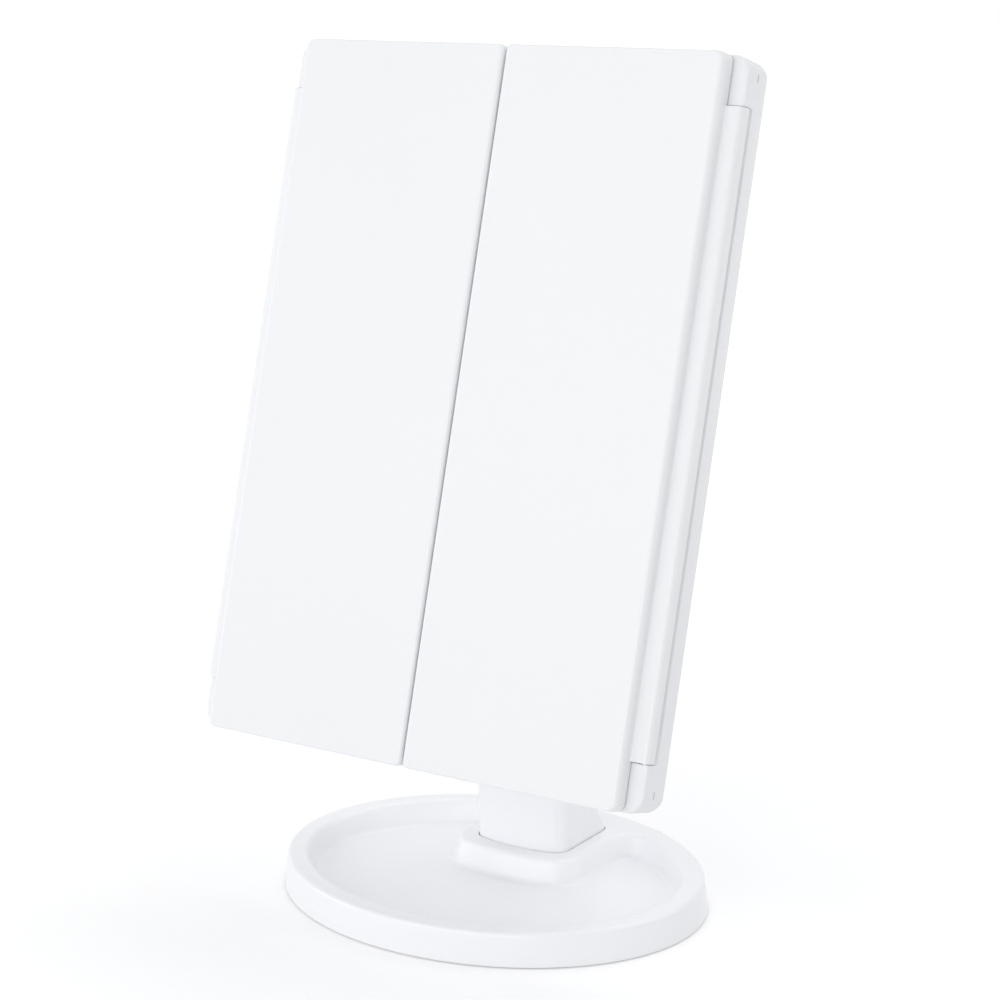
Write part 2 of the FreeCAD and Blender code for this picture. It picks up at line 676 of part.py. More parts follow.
def makeAxle():
    axle = headBody("tilt_axle")
    add(axle, "YZ", -earOuter, earOuter, circle(pivotBehind, pivotAlong, size("axleRadius")))
    caps = headBody("axle_caps", True)
    capOuter = earOuter + size("capThickness")
    for low, high in ((earOuter, capOuter), (-capOuter, -earOuter)):
        add(caps, "YZ", low, high, circle(pivotBehind, pivotAlong, size("capRadius")))
    roundEdges(caps, size("capRound"), lambda edge: near(abs(edge.CenterOfMass.x), capOuter),
               "Chamfer")


makeAxle()


# ---- front frame: mirror seat, light windows and the two hinge channels ----------------

def cutChannels(frame):
    # the round channel each strip turns in, the scoop that opens it to the side, and the
    # shallow rebate under the strip's root
    cut(frame, "XY", channelBottom, channelTop,
        *[circle(hingeX * side, hingeDepth, size("channelRadius")) for side in (-1, 1)])
    scoopX = bodyHalf + size("scoopOut")
    cut(frame, "XY", channelBottom, channelTop,
        *[circle(scoopX * side, size("scoopDepth"), size("scoopRadius")) for side in (-1, 1)])
    rebateX = wingOuter - size("stripOverlap") - size("channelGap")
    rebate = size("stripFront") + size("stripWall") + size("channelGap")
    cut(frame, "XZ", bodyFront, rebate,
        *[rectangle(*across(side, rebateX, hingeX), channelBottom, channelTop)
          for side in (-1, 1)])


def makeFrontFrame():
    frame = headBody("front_frame")
    slab(frame, bodyFront, seam, bodyBox, size("bodyCorner"), size("bodyFrontRound"), "front")
    cut(frame, "XZ", bodyFront, glassSeat,
        roundedBox(-openingHalf, openingHalf, openingBottom, openingTop, size("openingRound")))
    cut(frame, "XZ", webBack, seam,
        roundedBox(-openingHalf, openingHalf, bodyWall, panelTop - bodyWall,
                   size("hollowRound")))
    add(frame, "XZ", webBack, seam,
        *[circle(x, z, size("pillarRadius")) for x, z in pillars])
    cutChannels(frame)
    pinHole = size("pinRadius") + size("pinGap")
    for low, high in ((channelBottom - size("pinHole"), channelBottom),
                      (channelTop, channelTop + size("pinHole"))):
        cut(frame, "XY", low, high,
            *[circle(hingeX * side, hingeDepth, pinHole) for side in (-1, 1)])
    window = size("lampWindowHalf")
    margin = size("lampWindowMargin")
    for side in (-1, 1):
        low, high = across(side, lampMiddle - window, lampMiddle + window)
        cut(frame, "XZ", glassSeat, webBack, rectangle(low, high, margin, panelTop - margin))
    cut(frame, "XZ", glassSeat, webBack,
        circle(0, size("touchHeight"), size("touchRadius") + size("touchGap")))
    cut(frame, "XZ", webBack, seam, *[circle(x, z, screwHole) for x, z in pillars])
    # small notches in the seam, where a flat tool parts the two halves
    depth, inset, length = size("notchDepth"), size("notchInset"), size("notchLength")
    for low in (inset, panelTop - inset - length):
        cut(frame, "XZ", seam - size("notchWidth"), seam,
            *[rectangle(*across(side, bodyHalf - depth, bodyHalf), low, low + length)
              for side in (-1, 1)])


wingOuter = bodyHalf - size("wingInset")
bodyBox = (-bodyHalf, bodyHalf, nothing, panelTop)
makeFrontFrame()


# ---- rear cover: shell, battery hump, ears, posts and openings -------------------------

def makeRearCover():
    cover = headBody("rear_cover")
    slab(cover, seam, bodyBack, bodyBox, size("bodyCorner"), size("bodyBackRound"), "back")
    slab(cover, innerBack, size("humpBack"), (-humpHalf, humpHalf, humpBottom, humpTop),
         size("humpCorner"), size("humpRound"), "back")
    cut(cover, "XZ", seam, innerBack,
        roundedBox(-openingHalf, openingHalf, bodyWall, panelTop - bodyWall,
                   size("hollowRound")))
    inset = bodyWall + size("humpRound") / 3
    cut(cover, "XZ", innerBack - bodyWall / 2, lidSeat - bodyWall,
        rectangle(inset - humpHalf, humpHalf - inset, humpBottom + inset, humpTop - inset))
    makeBatteryBay(cover)
    makeEars(cover)
    finishCover(cover)


def makeBatteryBay(cover):
    # a box for the cells, open to the back, with a rebate for the lid
    wall = size("bayWall")
    gap = size("lidGap")
    add(cover, "XZ", size("bayFloor") - wall, lidSeat,
        rectangle(-bayHalf - wall, bayHalf + wall, bayBottom - wall, bayTop + wall))
    cut(cover, "XZ", size("bayFloor"), size("humpBack"),
        rectangle(-bayHalf, bayHalf, bayBottom, bayTop))
    cut(cover, "XZ", lidSeat, size("humpBack"),
        roundedBox(-lidHalf - gap, lidHalf + gap, lidBottom - gap, lidTop + gap,
                   size("lidRound") + gap))


def makeEars(cover):
    # two forked ears that hold the tilt axle
    root = innerBack + bodyWall / 2
    for low, high in ((earInner, earOuter), (-earOuter, -earInner)):
        add(cover, "YZ", low, high,
            polygon((root, pivotAlong - size("earBelow")),
                    (pivotBehind, pivotAlong - size("knuckleRadius")),
                    (pivotBehind, pivotAlong + size("knuckleRadius")),
                    (root, pivotAlong + size("earAbove"))))
        add(cover, "YZ", low, high, circle(pivotBehind, pivotAlong, size("knuckleRadius")))
    cut(cover, "YZ", -earOuter, earOuter,
        circle(pivotBehind, pivotAlong, size("axleRadius") + size("axleGap")))


def finishCover(cover):
    # screw pillars, posts for the board, and the openings for switch and power inlet
    add(cover, "XZ", seam, bodyBack - bodyWall / 2,
        *[circle(x, z, size("pillarRadius")) for x, z in pillars])
    cut(cover, "XZ", seam, bodyBack, *[circle(x, z, screwHole) for x, z in pillars])
    cut(cover, "XZ", bodyBack - size("screwSink"), bodyBack,
        *[circle(x, z, screwHeadHole) for x, z in pillars])
    add(cover, "XZ", innerBack - size("boardLift"), innerBack + bodyWall / 2,
        *[circle(x, z, size("postRadius")) for x, z in boardPosts])
    halfSlot = size("knobWidth") / 2 + size("switchTravel") / 2 + size("switchGap")
    halfTall = size("knobHeight") / 2 + size("switchGap")
    switchX, switchZ = size("switchX"), size("switchHeight")
    cut(cover, "XZ", innerBack, bodyBack,
        rectangle(switchX - halfSlot, switchX + halfSlot, switchZ - halfTall, switchZ + halfTall))
    inletX, inletZ, gap = size("inletX"), size("inletHeight"), size("inletGap")
    halfWide, tall = size("inletHalf") + gap, size("inletTall") + gap
    cut(cover, "XZ", innerBack, bodyBack,
        rectangle(inletX - halfWide, inletX + halfWide, inletZ - tall, inletZ + tall))


boardHalf = size("boardWidth") / 2
boardBottom = size("boardBottom")
boardTop = boardBottom + size("boardHeight")
boardPosts = [(side * (boardHalf - size("postInset")), z) for side in (-1, 1)
              for z in (boardBottom + size("postInset"), boardTop - size("postInset"))]
makeRearCover()


# ---- mirror, lights and touch button ---------------------------------------------------

def makeLights():
    gap = size("glassGap")
    glassBottom, glassTop = openingBottom + gap, openingTop - gap
    glass = headBody("centre_mirror")
    add(glass, "XZ", glassFront, glassSeat,
        rectangle(-glassHalf, glassHalf, glassBottom, glassTop))
    ring = headBody("touch_ring")
    add(ring, "XZ", glassFront - size("ringThickness"), glassFront,
        circle(0, size("touchHeight"), size("ringOuter")),
        circle(0, size("touchHeight"), size("ringInner")))
    sensor = headBody("touch_sensor_board")
    add(sensor, "XZ", glassSeat, glassSeat + size("touchThickness"),
        circle(0, size("touchHeight"), size("touchRadius")))
    for name, side in sides.items():
        diffuser = headBody(name + "_light_diffuser")
        low, high = across(side, lampInner, lampOuter)
        add(diffuser, "XZ", glassFront, glassSeat, rectangle(low, high, glassBottom, glassTop))
        makeLedBoard(name, side)


def makeLedBoard(name, side):
    board = headBody(name + "_led_board")
    half, margin = size("lampBoardHalf"), size("lampMargin")
    low, high = across(side, lampMiddle - half, lampMiddle + half)
    add(board, "XZ", webBack, webBack + size("lampBoardThickness"),
        rectangle(low, high, margin, panelTop - margin))
    # a row of lamps in the window
    low, high = across(side, lampMiddle - size("ledWidth") / 2, lampMiddle + size("ledWidth") / 2)
    first = size("ledEndMargin")
    lamp = add(board, "XZ", webBack - size("ledHeight"), webBack,
               rectangle(low, high, first, first + size("ledLength")))
    row = board.newObject("PartDesign::LinearPattern", "LampRow")
    row.Originals = [lamp]
    row.Direction = (lamp.Profile[0], ["V_Axis"])
    bind(row, "Length", panelTop - first * 2 - size("ledLength"))
    row.Occurrences = 18
    board.Tip = row


makeLights()


# ---- circuit board, switch, power inlet and screws -------------------------------------

def makeElectrics():
    board = headBody("main_board")
    boardBack = innerBack - size("boardLift")
    boardFront = boardBack - size("boardThickness")
    add(board, "XZ", boardFront, boardBack,
        roundedBox(-boardHalf, boardHalf, boardBottom, boardTop, size("boardCorner")))
    middle = (boardBottom + boardTop) / 2
    # driver chip, coil, wire connector and two upright capacitors
    chip, coil = size("chipSide") / 2, size("coilSide") / 2
    coilX, coilZ = size("coilX"), middle - size("coilDrop")
    plugX, plugHalf, plugTall = size("plugX"), size("plugLength") / 2, size("plugWidth") / 2
    add(board, "XZ", boardFront - size("chipHeight"), boardFront,
        rectangle(-chip, chip, middle - chip, middle + chip))
    add(board, "XZ", boardFront - size("coilHeight"), boardFront,
        rectangle(coilX - coil, coilX + coil, coilZ - coil, coilZ + coil))
    add(board, "XZ", boardFront - size("plugHeight"), boardFront,
        rectangle(-plugX - plugHalf, plugHalf - plugX, middle - plugTall, middle + plugTall))
    add(board, "XZ", boardFront - size("canHeight"), boardFront,
        circle(size("canX"), middle + size("canRise"), size("canRadius")),
        circle(-size("lowCanX"), middle - size("lowCanDrop"), size("canRadius")))

    # the switch: a case inside the wall and a knob that slides in the slot
    switchX, switchZ = size("switchX"), size("switchHeight")
    travel, gap = size("switchTravel"), size("switchGap")
    knobHalf, knobTall = size("knobWidth") / 2, size("knobHeight") / 2
    margin = size("switchCaseMargin")
    caseHalf = knobHalf + travel / 2 + gap + margin
    caseTall = knobTall + gap + margin
    case = headBody("switch_case")
    add(case, "XZ", innerBack - size("switchCaseDepth"), innerBack,
        rectangle(switchX - caseHalf, switchX + caseHalf, switchZ - caseTall, switchZ + caseTall))
    knob = headBody("switch_knob")
    knobX = switchX - travel / 2
    knobBack = bodyBack + size("knobProud")
    add(knob, "XZ", innerBack, knobBack,
        rectangle(knobX - knobHalf, knobX + knobHalf, switchZ - knobTall, switchZ + knobTall))
    grip = size("knobGrip")
    cut(knob, "XZ", knobBack - grip, knobBack,
        *[rectangle(knobX + grip * 2 * i - grip / 2, knobX + grip * 2 * i + grip / 2,
                    switchZ - knobTall, switchZ + knobTall) for i in (-1, 0, 1)])

    # the power inlet: a metal shell with a flange behind the wall and a tongue inside
    inletX, inletZ = size("inletX"), size("inletHeight")
    half, tall, wall = size("inletHalf"), size("inletTall"), size("inletWall")
    inletFront = bodyBack - size("inletLength")
    flange = size("inletFlange")
    inlet = headBody("power_inlet")
    add(inlet, "XZ", inletFront, bodyBack,
        rectangle(inletX - half, inletX + half, inletZ - tall, inletZ + tall))
    end, tongue = size("inletEnd"), size("tongueThickness") / 2
    add(inlet, "XZ", innerBack - end, innerBack,
        rectangle(inletX - half - flange, inletX + half + flange,
                  inletZ - tall - flange, inletZ + tall + flange))
    cut(inlet, "XZ", inletFront + end, bodyBack,
        rectangle(inletX - half + wall, inletX + half - wall, inletZ - tall + wall,
                  inletZ + tall - wall))
    add(inlet, "XZ", inletFront + end, bodyBack - end,
        rectangle(inletX - half / 2, inletX + half / 2, inletZ - tongue, inletZ + tongue))

    screws = headBody("body_screws", True)
    headFront = bodyBack - size("screwSink")
    add(screws, "XZ", headFront, headFront + size("screwHeadHeight"),
        *[circle(x, z, size("screwHead")) for x, z in pillars])
    add(screws, "XZ", webBack, headFront, *[circle(x, z, size("screwRadius")) for x, z in pillars])


makeElectrics()


# ---- batteries and lid -----------------------------------------------------------------

def makeBatteries():
    # neighbouring cells point opposite ways, so that a plate joins each pair in turn
    plate, springLength = size("contactThickness"), size("springLength")
    radius, nub = size("cellRadius"), size("nubLength")
    cells = headBody("battery_cells", True)
    springs = headBody("battery_springs", True)
    for i, z in enumerate(cellZ):
        way = 1 if i % 2 == 0 else -1
        canEnd = bayHalf - plate - nub
        low, high = across(way, plate + springLength - bayHalf, canEnd)
        add(cells, "YZ", low, high, circle(cellY, z, radius))
        low, high = across(way, canEnd, bayHalf - plate)
        add(cells, "YZ", low, high, circle(cellY, z, size("nubRadius")))
        wire, slack = size("springWire"), size("springGap")
        coil = springs.newObject("PartDesign::AdditiveHelix", "Coil")
        begin = plate - bayHalf + wire / 2 + slack
        low, high = across(way, begin - wire / 2, begin + wire / 2)
        reach = cellY + size("springRadius")
        profile = newSketch(springs, "XY", z, rectangle(low, high, reach - wire / 2,
                                                        reach + wire / 2))
        axis = profile.addGeometry(Part.LineSegment(vector(0, cellY), vector(way, cellY)), True)
        profile.addConstraint(Sketcher.Constraint("Horizontal", axis))
        hold(profile, axis, 1, 0, cellY)
        coil.Profile = profile
        coil.ReferenceAxis = (profile, ["Axis0"])
        coil.Mode = "pitch-height-angle"
        rise = springLength - wire - slack * 2
        bind(coil, "Height", rise)
        bind(coil, "Pitch", rise / 2)
        springs.Tip = coil
    contacts = headBody("battery_contacts", True)
    half = size("contactHalf")
    for side, rows in ((-1, (0, 0)), (-1, (1, 2)), (-1, (3, 3)), (1, (0, 1)), (1, (2, 3))):
        low, high = across(side, bayHalf - plate, bayHalf)
        add(contacts, "YZ", low, high, rectangle(cellY - half, cellY + half,
                                                 cellZ[rows[0]] - half, cellZ[rows[1]] + half))

    lid = headBody("battery_lid")
    add(lid, "XZ", lidSeat, size("humpBack"),
        roundedBox(-lidHalf, lidHalf, lidBottom, lidTop, size("lidRound")))
    gripHalf, gripHeight = size("gripWidth") / 2, size("gripHeight")
    gripTop = lidTop - size("gripInset")
    cut(lid, "XZ", size("humpBack") - size("gripDepth"), size("humpBack"),
        roundedBox(-gripHalf, gripHalf, gripTop - gripHeight, gripTop, size("gripCorner")))


makeBatteries()


# ---- wings -----------------------------------------------------------------------------

wingInner = size("wingGap") / 2
wingBack = size("wingThickness")
frameInset = size("wingWall") + size("frameGap")
glassInset = frameInset + size("mirrorBorder")
ledge = size("mirrorSeat")


def inset(radius, depth):
    # how far a rounded edge stands back from the side, at a depth behind the front face
    if number(depth) > number(radius) - 1e-6:
        return nothing
    rest = radius - depth
    return radius - root(radius * radius - rest * rest)


def makeWingShell(name, side):
    # a flat front, a large round towards the hinge and a small one on the other three edges
    shell = headBody(name + "_wing_shell")
    large, small = size("wingOuterRound"), size("wingEdgeRound")
    sections = []
    for depth in [large * share for share in (0.0, 0.05, 0.15, 0.3, 0.6, 1.0)] + [wingBack]:
        edge = inset(small, depth)
        low, high = across(side, wingInner + edge, wingOuter - inset(large, depth))
        bends = (size("wingInnerCorner") - edge, size("wingCorner") - edge)
        sections.append(newSketch(shell, "XZ", depth,
                                  roundedBox(low, high, edge, panelTop - edge, *bends[::side])))
    loft(shell, "AdditiveLoft", sections)
    wall = size("wingWall")
    low, high = across(side, wingInner + wall, wingOuter - wall)
    cut(shell, "XZ", wall, wingBack,
        roundedBox(low, high, wall, panelTop - wall, size("frameCorner") + size("frameGap")))
    makeStrip(shell, side)


def makeStrip(shell, side):
    # the long curved strip, part of the shell, that wraps the edge of the body and turns
    # about the pins inside the body's channel
    front, back = size("stripFront"), size("stripBack")
    outer, wall = bodyHalf + size("stripProud"), size("stripWall")
    inner = wingOuter - size("stripOverlap")
    corners = [(inner, front), (outer, front), (outer, back), (outer - wall, back),
               (outer - wall, front + wall), (inner, front + wall)]
    add(shell, "XY", stripBottom, stripTop, polygon(*[(x * side, y) for x, y in corners]))
    roundEdges(shell, size("stripRound"), alongAt("z", x=outer * side, y=front))
    roundEdges(shell, size("stripFillet"),
               alongAt("z", x=(outer - wall) * side, y=front + wall))
    roundEdges(shell, size("stripFillet"), alongAt("z", x=wingOuter * side, y=front))
    roundEdges(shell, size("stripTipRound"), alongAt("z", y=back))
    # a boss at each end takes the pin, and round ribs stiffen the strip between them
    boss = circle(hingeX * side, hingeDepth, size("stripBossRadius"))
    length = size("stripBoss")
    add(shell, "XY", stripBottom, stripBottom + length, boss)
    add(shell, "XY", stripTop - length, stripTop, boss)
    for i in range(1, 5):
        rib = stripBottom + size("ribSpacing") * i
        add(shell, "XY", rib, rib + size("ribThickness"), boss)
    bore = circle(hingeX * side, hingeDepth, size("pinRadius") + size("pinGap"))
    cut(shell, "XY", stripBottom, stripBottom + size("pinGrip"), bore)
    cut(shell, "XY", stripTop - size("pinGrip"), stripTop, bore)


def makePins(name, side):
    pins = headBody(name + "_hinge_pins", True)
    for low, high in ((channelBottom - size("pinReach"), stripBottom + size("pinGrip")),
                      (stripTop - size("pinGrip"), channelTop + size("pinReach"))):
        add(pins, "XY", low, high, circle(hingeX * side, hingeDepth, size("pinRadius")))


def makeWingFrame(name, side, openings, seat):
    # the inner frame that holds the glass; a flat pane rests on a ledge round a window
    frame = headBody(name + "_wing_frame")
    low, high = across(side, wingInner + frameInset, wingOuter - frameInset)
    add(frame, "XZ", size("wingWall"), wingBack,
        roundedBox(low, high, frameInset, panelTop - frameInset, size("frameCorner")))
    gap, corner = size("mirrorGap"), size("mirrorCorner")
    for low, high, bottom, top in openings:
        cut(frame, "XZ", seat, wingBack,
            roundedBox(low - gap, high + gap, bottom - gap, top + gap, corner + gap))
        if seat is ledge:
            margin = size("windowMargin")
            cut(frame, "XZ", size("wingWall"), ledge,
                rectangle(low + margin, high - margin, bottom + margin, top - margin))


def makePane(label, opening, seat):
    low, high, bottom, top = opening
    pane = headBody(label)
    add(pane, "XZ", seat, wingBack - size("mirrorRecess"),
        roundedBox(low, high, bottom, top, size("mirrorCorner")))
    return pane


def makeWings():
    glassBottom, glassTop = glassInset, panelTop - glassInset
    low, high = across(1, wingInner + glassInset, wingOuter - glassInset)
    whole = (low, high, glassBottom, glassTop)
    makeWingShell("right", 1)
    makeWingFrame("right", 1, [whole], ledge)
    makePane("right_wing_mirror", whole, ledge)
    makePins("right", 1)
    low, high = -high, -low
    split, halfBar = size("magnifierSplit"), size("magnifierBar") / 2
    lower = (low, high, glassBottom, split - halfBar)
    upper = (low, high, split + halfBar, glassTop)
    makeWingShell("left", -1)
    seat = size("wingWall")
    makeWingFrame("left", -1, [lower, upper], seat)
    hollowPane(makePane("left_magnifier_lower", lower, seat), lower, "lower")
    hollowPane(makePane("left_magnifier_upper", upper, seat), upper, "upper")
    makePins("left", -1)


def hollowPane(pane, opening, which):
    # the shallow dish that makes the pane magnify
    low, high, bottom, top = opening
    curve, hollow = size(which + "Curve"), size(which + "Hollow")
    ball = pane.newObject("PartDesign::SubtractiveSphere", "Hollow")
    bind(ball, "Radius", curve)
    deepest = wingBack - size("mirrorRecess") - hollow
    bind(ball, "Placement.Base.x", (low + high) / 2)
    bind(ball, "Placement.Base.y", deepest + curve)
    bind(ball, "Placement.Base.z", (bottom + top) / 2)
    pane.Tip = ball


makeWings()


# ---- what is written ------------------------------------------------------------------

doc.recompute()
failed = [item.Name for item in doc.Objects if {"Invalid", "Error"} & set(item.State)]
if failed:
    raise RuntimeError("failed objects: " + ", ".join(failed))
for label, node in nodes.items():
    if node.Shape.isNull() or not node.Shape.isValid():
        raise RuntimeError("bad shape: " + label)
    node.Shape.exportStep("parts/%s.step" % label)
    print(label, round(node.Shape.Volume), len(node.Shape.Solids))
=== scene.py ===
import bpy
import bmesh
import json
import math
from mathutils import Matrix, Vector


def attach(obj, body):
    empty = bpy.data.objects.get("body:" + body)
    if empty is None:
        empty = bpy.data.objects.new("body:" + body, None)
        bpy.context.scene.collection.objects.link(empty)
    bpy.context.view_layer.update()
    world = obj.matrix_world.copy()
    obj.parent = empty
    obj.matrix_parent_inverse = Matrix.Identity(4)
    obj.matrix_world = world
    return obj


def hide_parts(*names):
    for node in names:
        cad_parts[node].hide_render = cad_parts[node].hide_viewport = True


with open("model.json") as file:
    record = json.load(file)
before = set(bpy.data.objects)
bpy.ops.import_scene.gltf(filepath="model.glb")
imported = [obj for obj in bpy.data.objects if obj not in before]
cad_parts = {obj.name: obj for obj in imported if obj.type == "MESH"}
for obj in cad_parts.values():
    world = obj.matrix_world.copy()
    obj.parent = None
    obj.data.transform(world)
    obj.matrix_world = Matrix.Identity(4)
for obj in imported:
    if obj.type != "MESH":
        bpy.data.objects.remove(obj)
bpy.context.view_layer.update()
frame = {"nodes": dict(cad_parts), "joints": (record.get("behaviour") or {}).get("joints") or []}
nodes = frame["nodes"]
print("frame loaded,", len(nodes), "nodes")

mm = 0.001


# the head's own upright frame, leaned back on the tilt axle; mm and degrees

headFrame = {"axleDepth": 30.0, "axleUp": 64.0, "lean": 17.0}


def headMatrix():
    # x across, y from the wings' front face to the back, z up from the bottom edge
    tilt = next(joint for joint in frame["joints"] if joint["name"] == "head_tilt")
    toAxle = Matrix.Translation((0, -headFrame["axleDepth"] * mm, -headFrame["axleUp"] * mm))
    turn = Matrix.Rotation(math.radians(-headFrame["lean"]), 4, "X")
    return Matrix.Translation(tilt["pos_m"]) @ turn @ toAxle


leaned = headMatrix()


def headBox(node):
    # how far a CAD node reaches along x, y and z of that frame, in mm
    upright = leaned.inverted()
    places = [upright @ corner.co for corner in nodes[node].data.vertices]
    return [[round(limit(place[axis] for place in places) / mm, 2) for limit in (min, max)]
            for axis in range(3)]


# node wiring

class Wire:
    # one output of a node in a shader or Geometry Nodes tree; a sum on it adds its Math node
    def __init__(self, tree, socket=None):
        self.tree = tree
        self.socket = socket

    def node(self, kind, settings=None, sockets=None, output=0):
        made = self.tree.nodes.new(kind)
        for key, value in (settings or {}).items():
            setattr(made, key, value)
        for key, value in (sockets or {}).items():
            plug = self.find(made.inputs, key)
            if isinstance(value, (Wire, list)):  # a list joins several links in one socket
                for wire in value if isinstance(value, list) else [value]:
                    self.tree.links.new(wire.socket, plug)
            elif plug.type == "RGBA" and len(value) == 3:
                plug.default_value = (*value, 1.0)
            else:
                plug.default_value = value
        return Wire(self.tree, self.find(made.outputs, output) if made.outputs else None)

    def find(self, sockets, key):
        if isinstance(key, int):
            return sockets[key]
        return next(s for s in sockets if s.enabled and key in (s.identifier, s.name))

    def sum(self, operation, first, second):
        return self.node("ShaderNodeMath", {"operation": operation}, {0: first, 1: second})

    def __add__(self, other):
        return self.sum("ADD", self, other)

    def __radd__(self, other):
        return self.sum("ADD", other, self)

    def __sub__(self, other):
        return self.sum("SUBTRACT", self, other)

    def __rsub__(self, other):
        return self.sum("SUBTRACT", other, self)

    def __mul__(self, other):
        return self.sum("MULTIPLY", self, other)

    def __rmul__(self, other):
        return self.sum("MULTIPLY", other, self)

    def __truediv__(self, other):
        return self.sum("DIVIDE", self, other)

    def __rtruediv__(self, other):
        return self.sum("DIVIDE", other, self)

    def __pow__(self, other):
        return self.sum("POWER", self, other)

    def __rpow__(self, other):
        return self.sum("POWER", other, self)

    def __mod__(self, other):
        return self.sum("MODULO", self, other)

    def __rmod__(self, other):
        return self.sum("MODULO", other, self)

    def __gt__(self, other):
        return self.sum("GREATER_THAN", self, other)

    def __lt__(self, other):
        return self.sum("LESS_THAN", self, other)


def startFinish(name):
    material = bpy.data.materials.new(name)
    material.use_nodes = True
    material.node_tree.nodes.clear()
    return material, Wire(material.node_tree)


def endFinish(wire, sockets):
    shader = wire.node("ShaderNodeBsdfPrincipled", None, sockets)
    wire.node("ShaderNodeOutputMaterial", None, {"Surface": shader})


def noise(wire, place, scale, detail=2.0, roughness=0.5):
    return wire.node("ShaderNodeTexNoise", None, {"Vector": place, "Scale": scale,
                                                   "Detail": detail, "Roughness": roughness})


def blend(wire, factor, first, second):
    return wire.node("ShaderNodeMix", {"data_type": "RGBA"},
                     {"Factor_Float": factor, "A_Color": first, "B_Color": second},
                     "Result_Color")


def bump(wire, height, depth):
    return wire.node("ShaderNodeBump", None, {"Strength": 1.0, "Distance": depth * mm,
                                              "Height": height})


def darker(colour, share):
    return tuple(c * share for c in colour)


def objectPlace(wire):
    return wire.node("ShaderNodeTexCoord", None, None, "Object")


def stretched(wire, place, scale):
    return wire.node("ShaderNodeMapping", None, {"Vector": place, "Scale": scale})


def distances(wire, place, axes="XYZ"):
    # how far a place lies along each of the axes
    return [wire.node("ShaderNodeSeparateXYZ", None, {"Vector": place}, axis)
            for axis in axes]


# finishes: a pattern's scale is in waves per metre, depths and lengths are in mm

whiteLook = {
    "wingWhite": {"colour": (0.880, 0.892, 0.906), "shade": (0.862, 0.875, 0.890),
                  "rough": 0.34, "grain": 900.0, "depth": 0.010, "coat": 0.10},
    "bodyWhite": {"colour": (0.882, 0.893, 0.910), "shade": (0.862, 0.874, 0.894),
                  "rough": 0.36, "grain": 1100.0, "depth": 0.012, "coat": 0.08},
    "baseWhite": {"colour": (0.952, 0.956, 0.976), "shade": (0.938, 0.942, 0.964),
                  "rough": 0.30, "grain": 700.0, "depth": 0.010, "coat": 0.18},
    "frameWhite": {"colour": (0.890, 0.898, 0.915), "shade": (0.870, 0.880, 0.900),
                   "rough": 0.42, "grain": 1500.0, "depth": 0.014, "coat": 0.0},
}
mouldSkin = {"cloud": 14.0, "sheen": 60.0, "sheenSpread": 0.12, "coatRough": 0.12,
             "speckTimes": 6.0, "speckShare": 0.25}


def whitePlastic(name):
    # gloss moulding: cloudy tone over some centimetres, handling marks in the sheen, and
    # the fine orange peel of a polished mould
    look, skin = whiteLook[name], mouldSkin
    spread, share = skin["sheenSpread"], skin["speckShare"]
    material, wire = startFinish(name)
    place = objectPlace(wire)
    tone = noise(wire, place, skin["cloud"], detail=3.0)
    sheen = noise(wire, place, skin["sheen"], detail=4.0, roughness=0.6)
    peel = noise(wire, place, look["grain"])
    speck = noise(wire, place, look["grain"] * skin["speckTimes"], detail=1.0)
    endFinish(wire, {
        "Base Color": blend(wire, tone, look["shade"], look["colour"]),
        "Roughness": sheen * spread + (look["rough"] - spread / 2),
        "Coat Weight": sheen * look["coat"] + look["coat"] / 2,
        "Coat Roughness": skin["coatRough"],
        "Normal": bump(wire, peel * (1 - share) + speck * share, look["depth"]),
    })
    return material


silverLook = {"tint": (0.815, 0.840, 0.850), "bright": (0.850, 0.868, 0.876), "film": 25.0,
              "filmRough": 0.014, "dust": 2600.0, "dustAbove": 0.735, "dustRough": 0.3,
              "dustMatt": 0.6, "rough": 0.006}


def silverGlass(name):
    # silvered glass under a faint film, with a few specks of dust
    look = silverLook
    material, wire = startFinish(name)
    place = objectPlace(wire)
    film = noise(wire, place, look["film"], detail=3.0)
    dust = noise(wire, place, look["dust"], detail=1.0) > look["dustAbove"]
    endFinish(wire, {
        "Base Color": blend(wire, film, look["tint"], look["bright"]),
        "Metallic": 1.0 - dust * look["dustMatt"],
        "Roughness": film * look["filmRough"] + dust * look["dustRough"] + look["rough"],
    })
    return material


coverLook = {"shade": (0.90, 0.905, 0.90), "colour": (0.945, 0.945, 0.935), "tone": 40.0,
             "frost": 4200.0, "frostRough": 0.2, "rough": 0.45, "depth": 0.03,
             "milk": 0.25, "milkReach": 2.0}


def frostedCover(name):
    # milky cover of the light strips
    look = coverLook
    material, wire = startFinish(name)
    place = objectPlace(wire)
    frost = noise(wire, place, look["frost"], roughness=0.7)
    tone = noise(wire, place, look["tone"])
    endFinish(wire, {
        "Base Color": blend(wire, tone, look["shade"], look["colour"]),
        "Roughness": frost * look["frostRough"] + look["rough"],
        "Subsurface Weight": look["milk"], "Subsurface Scale": look["milkReach"] * mm,
        "Normal": bump(wire, frost, look["depth"]),
    })
    return material


metalLook = {
    "platedSteel": {"colour": (0.66, 0.67, 0.69), "rough": 0.30, "marks": 900.0,
                    "pull": (1.0, 1.0, 1.0)},
    "sheetSteel": {"colour": (0.55, 0.56, 0.58), "rough": 0.42, "marks": 60.0,
                   "pull": (1.0, 24.0, 24.0)},
    "contactNickel": {"colour": (0.74, 0.72, 0.67), "rough": 0.25, "marks": 900.0,
                      "pull": (1.0, 1.0, 1.0)},
}
metalSkin = {"spots": 90.0, "spotShare": 0.6, "dark": 0.82, "markRough": 0.22,
             "spotRough": 0.1, "smoother": 0.12, "depth": 0.012}


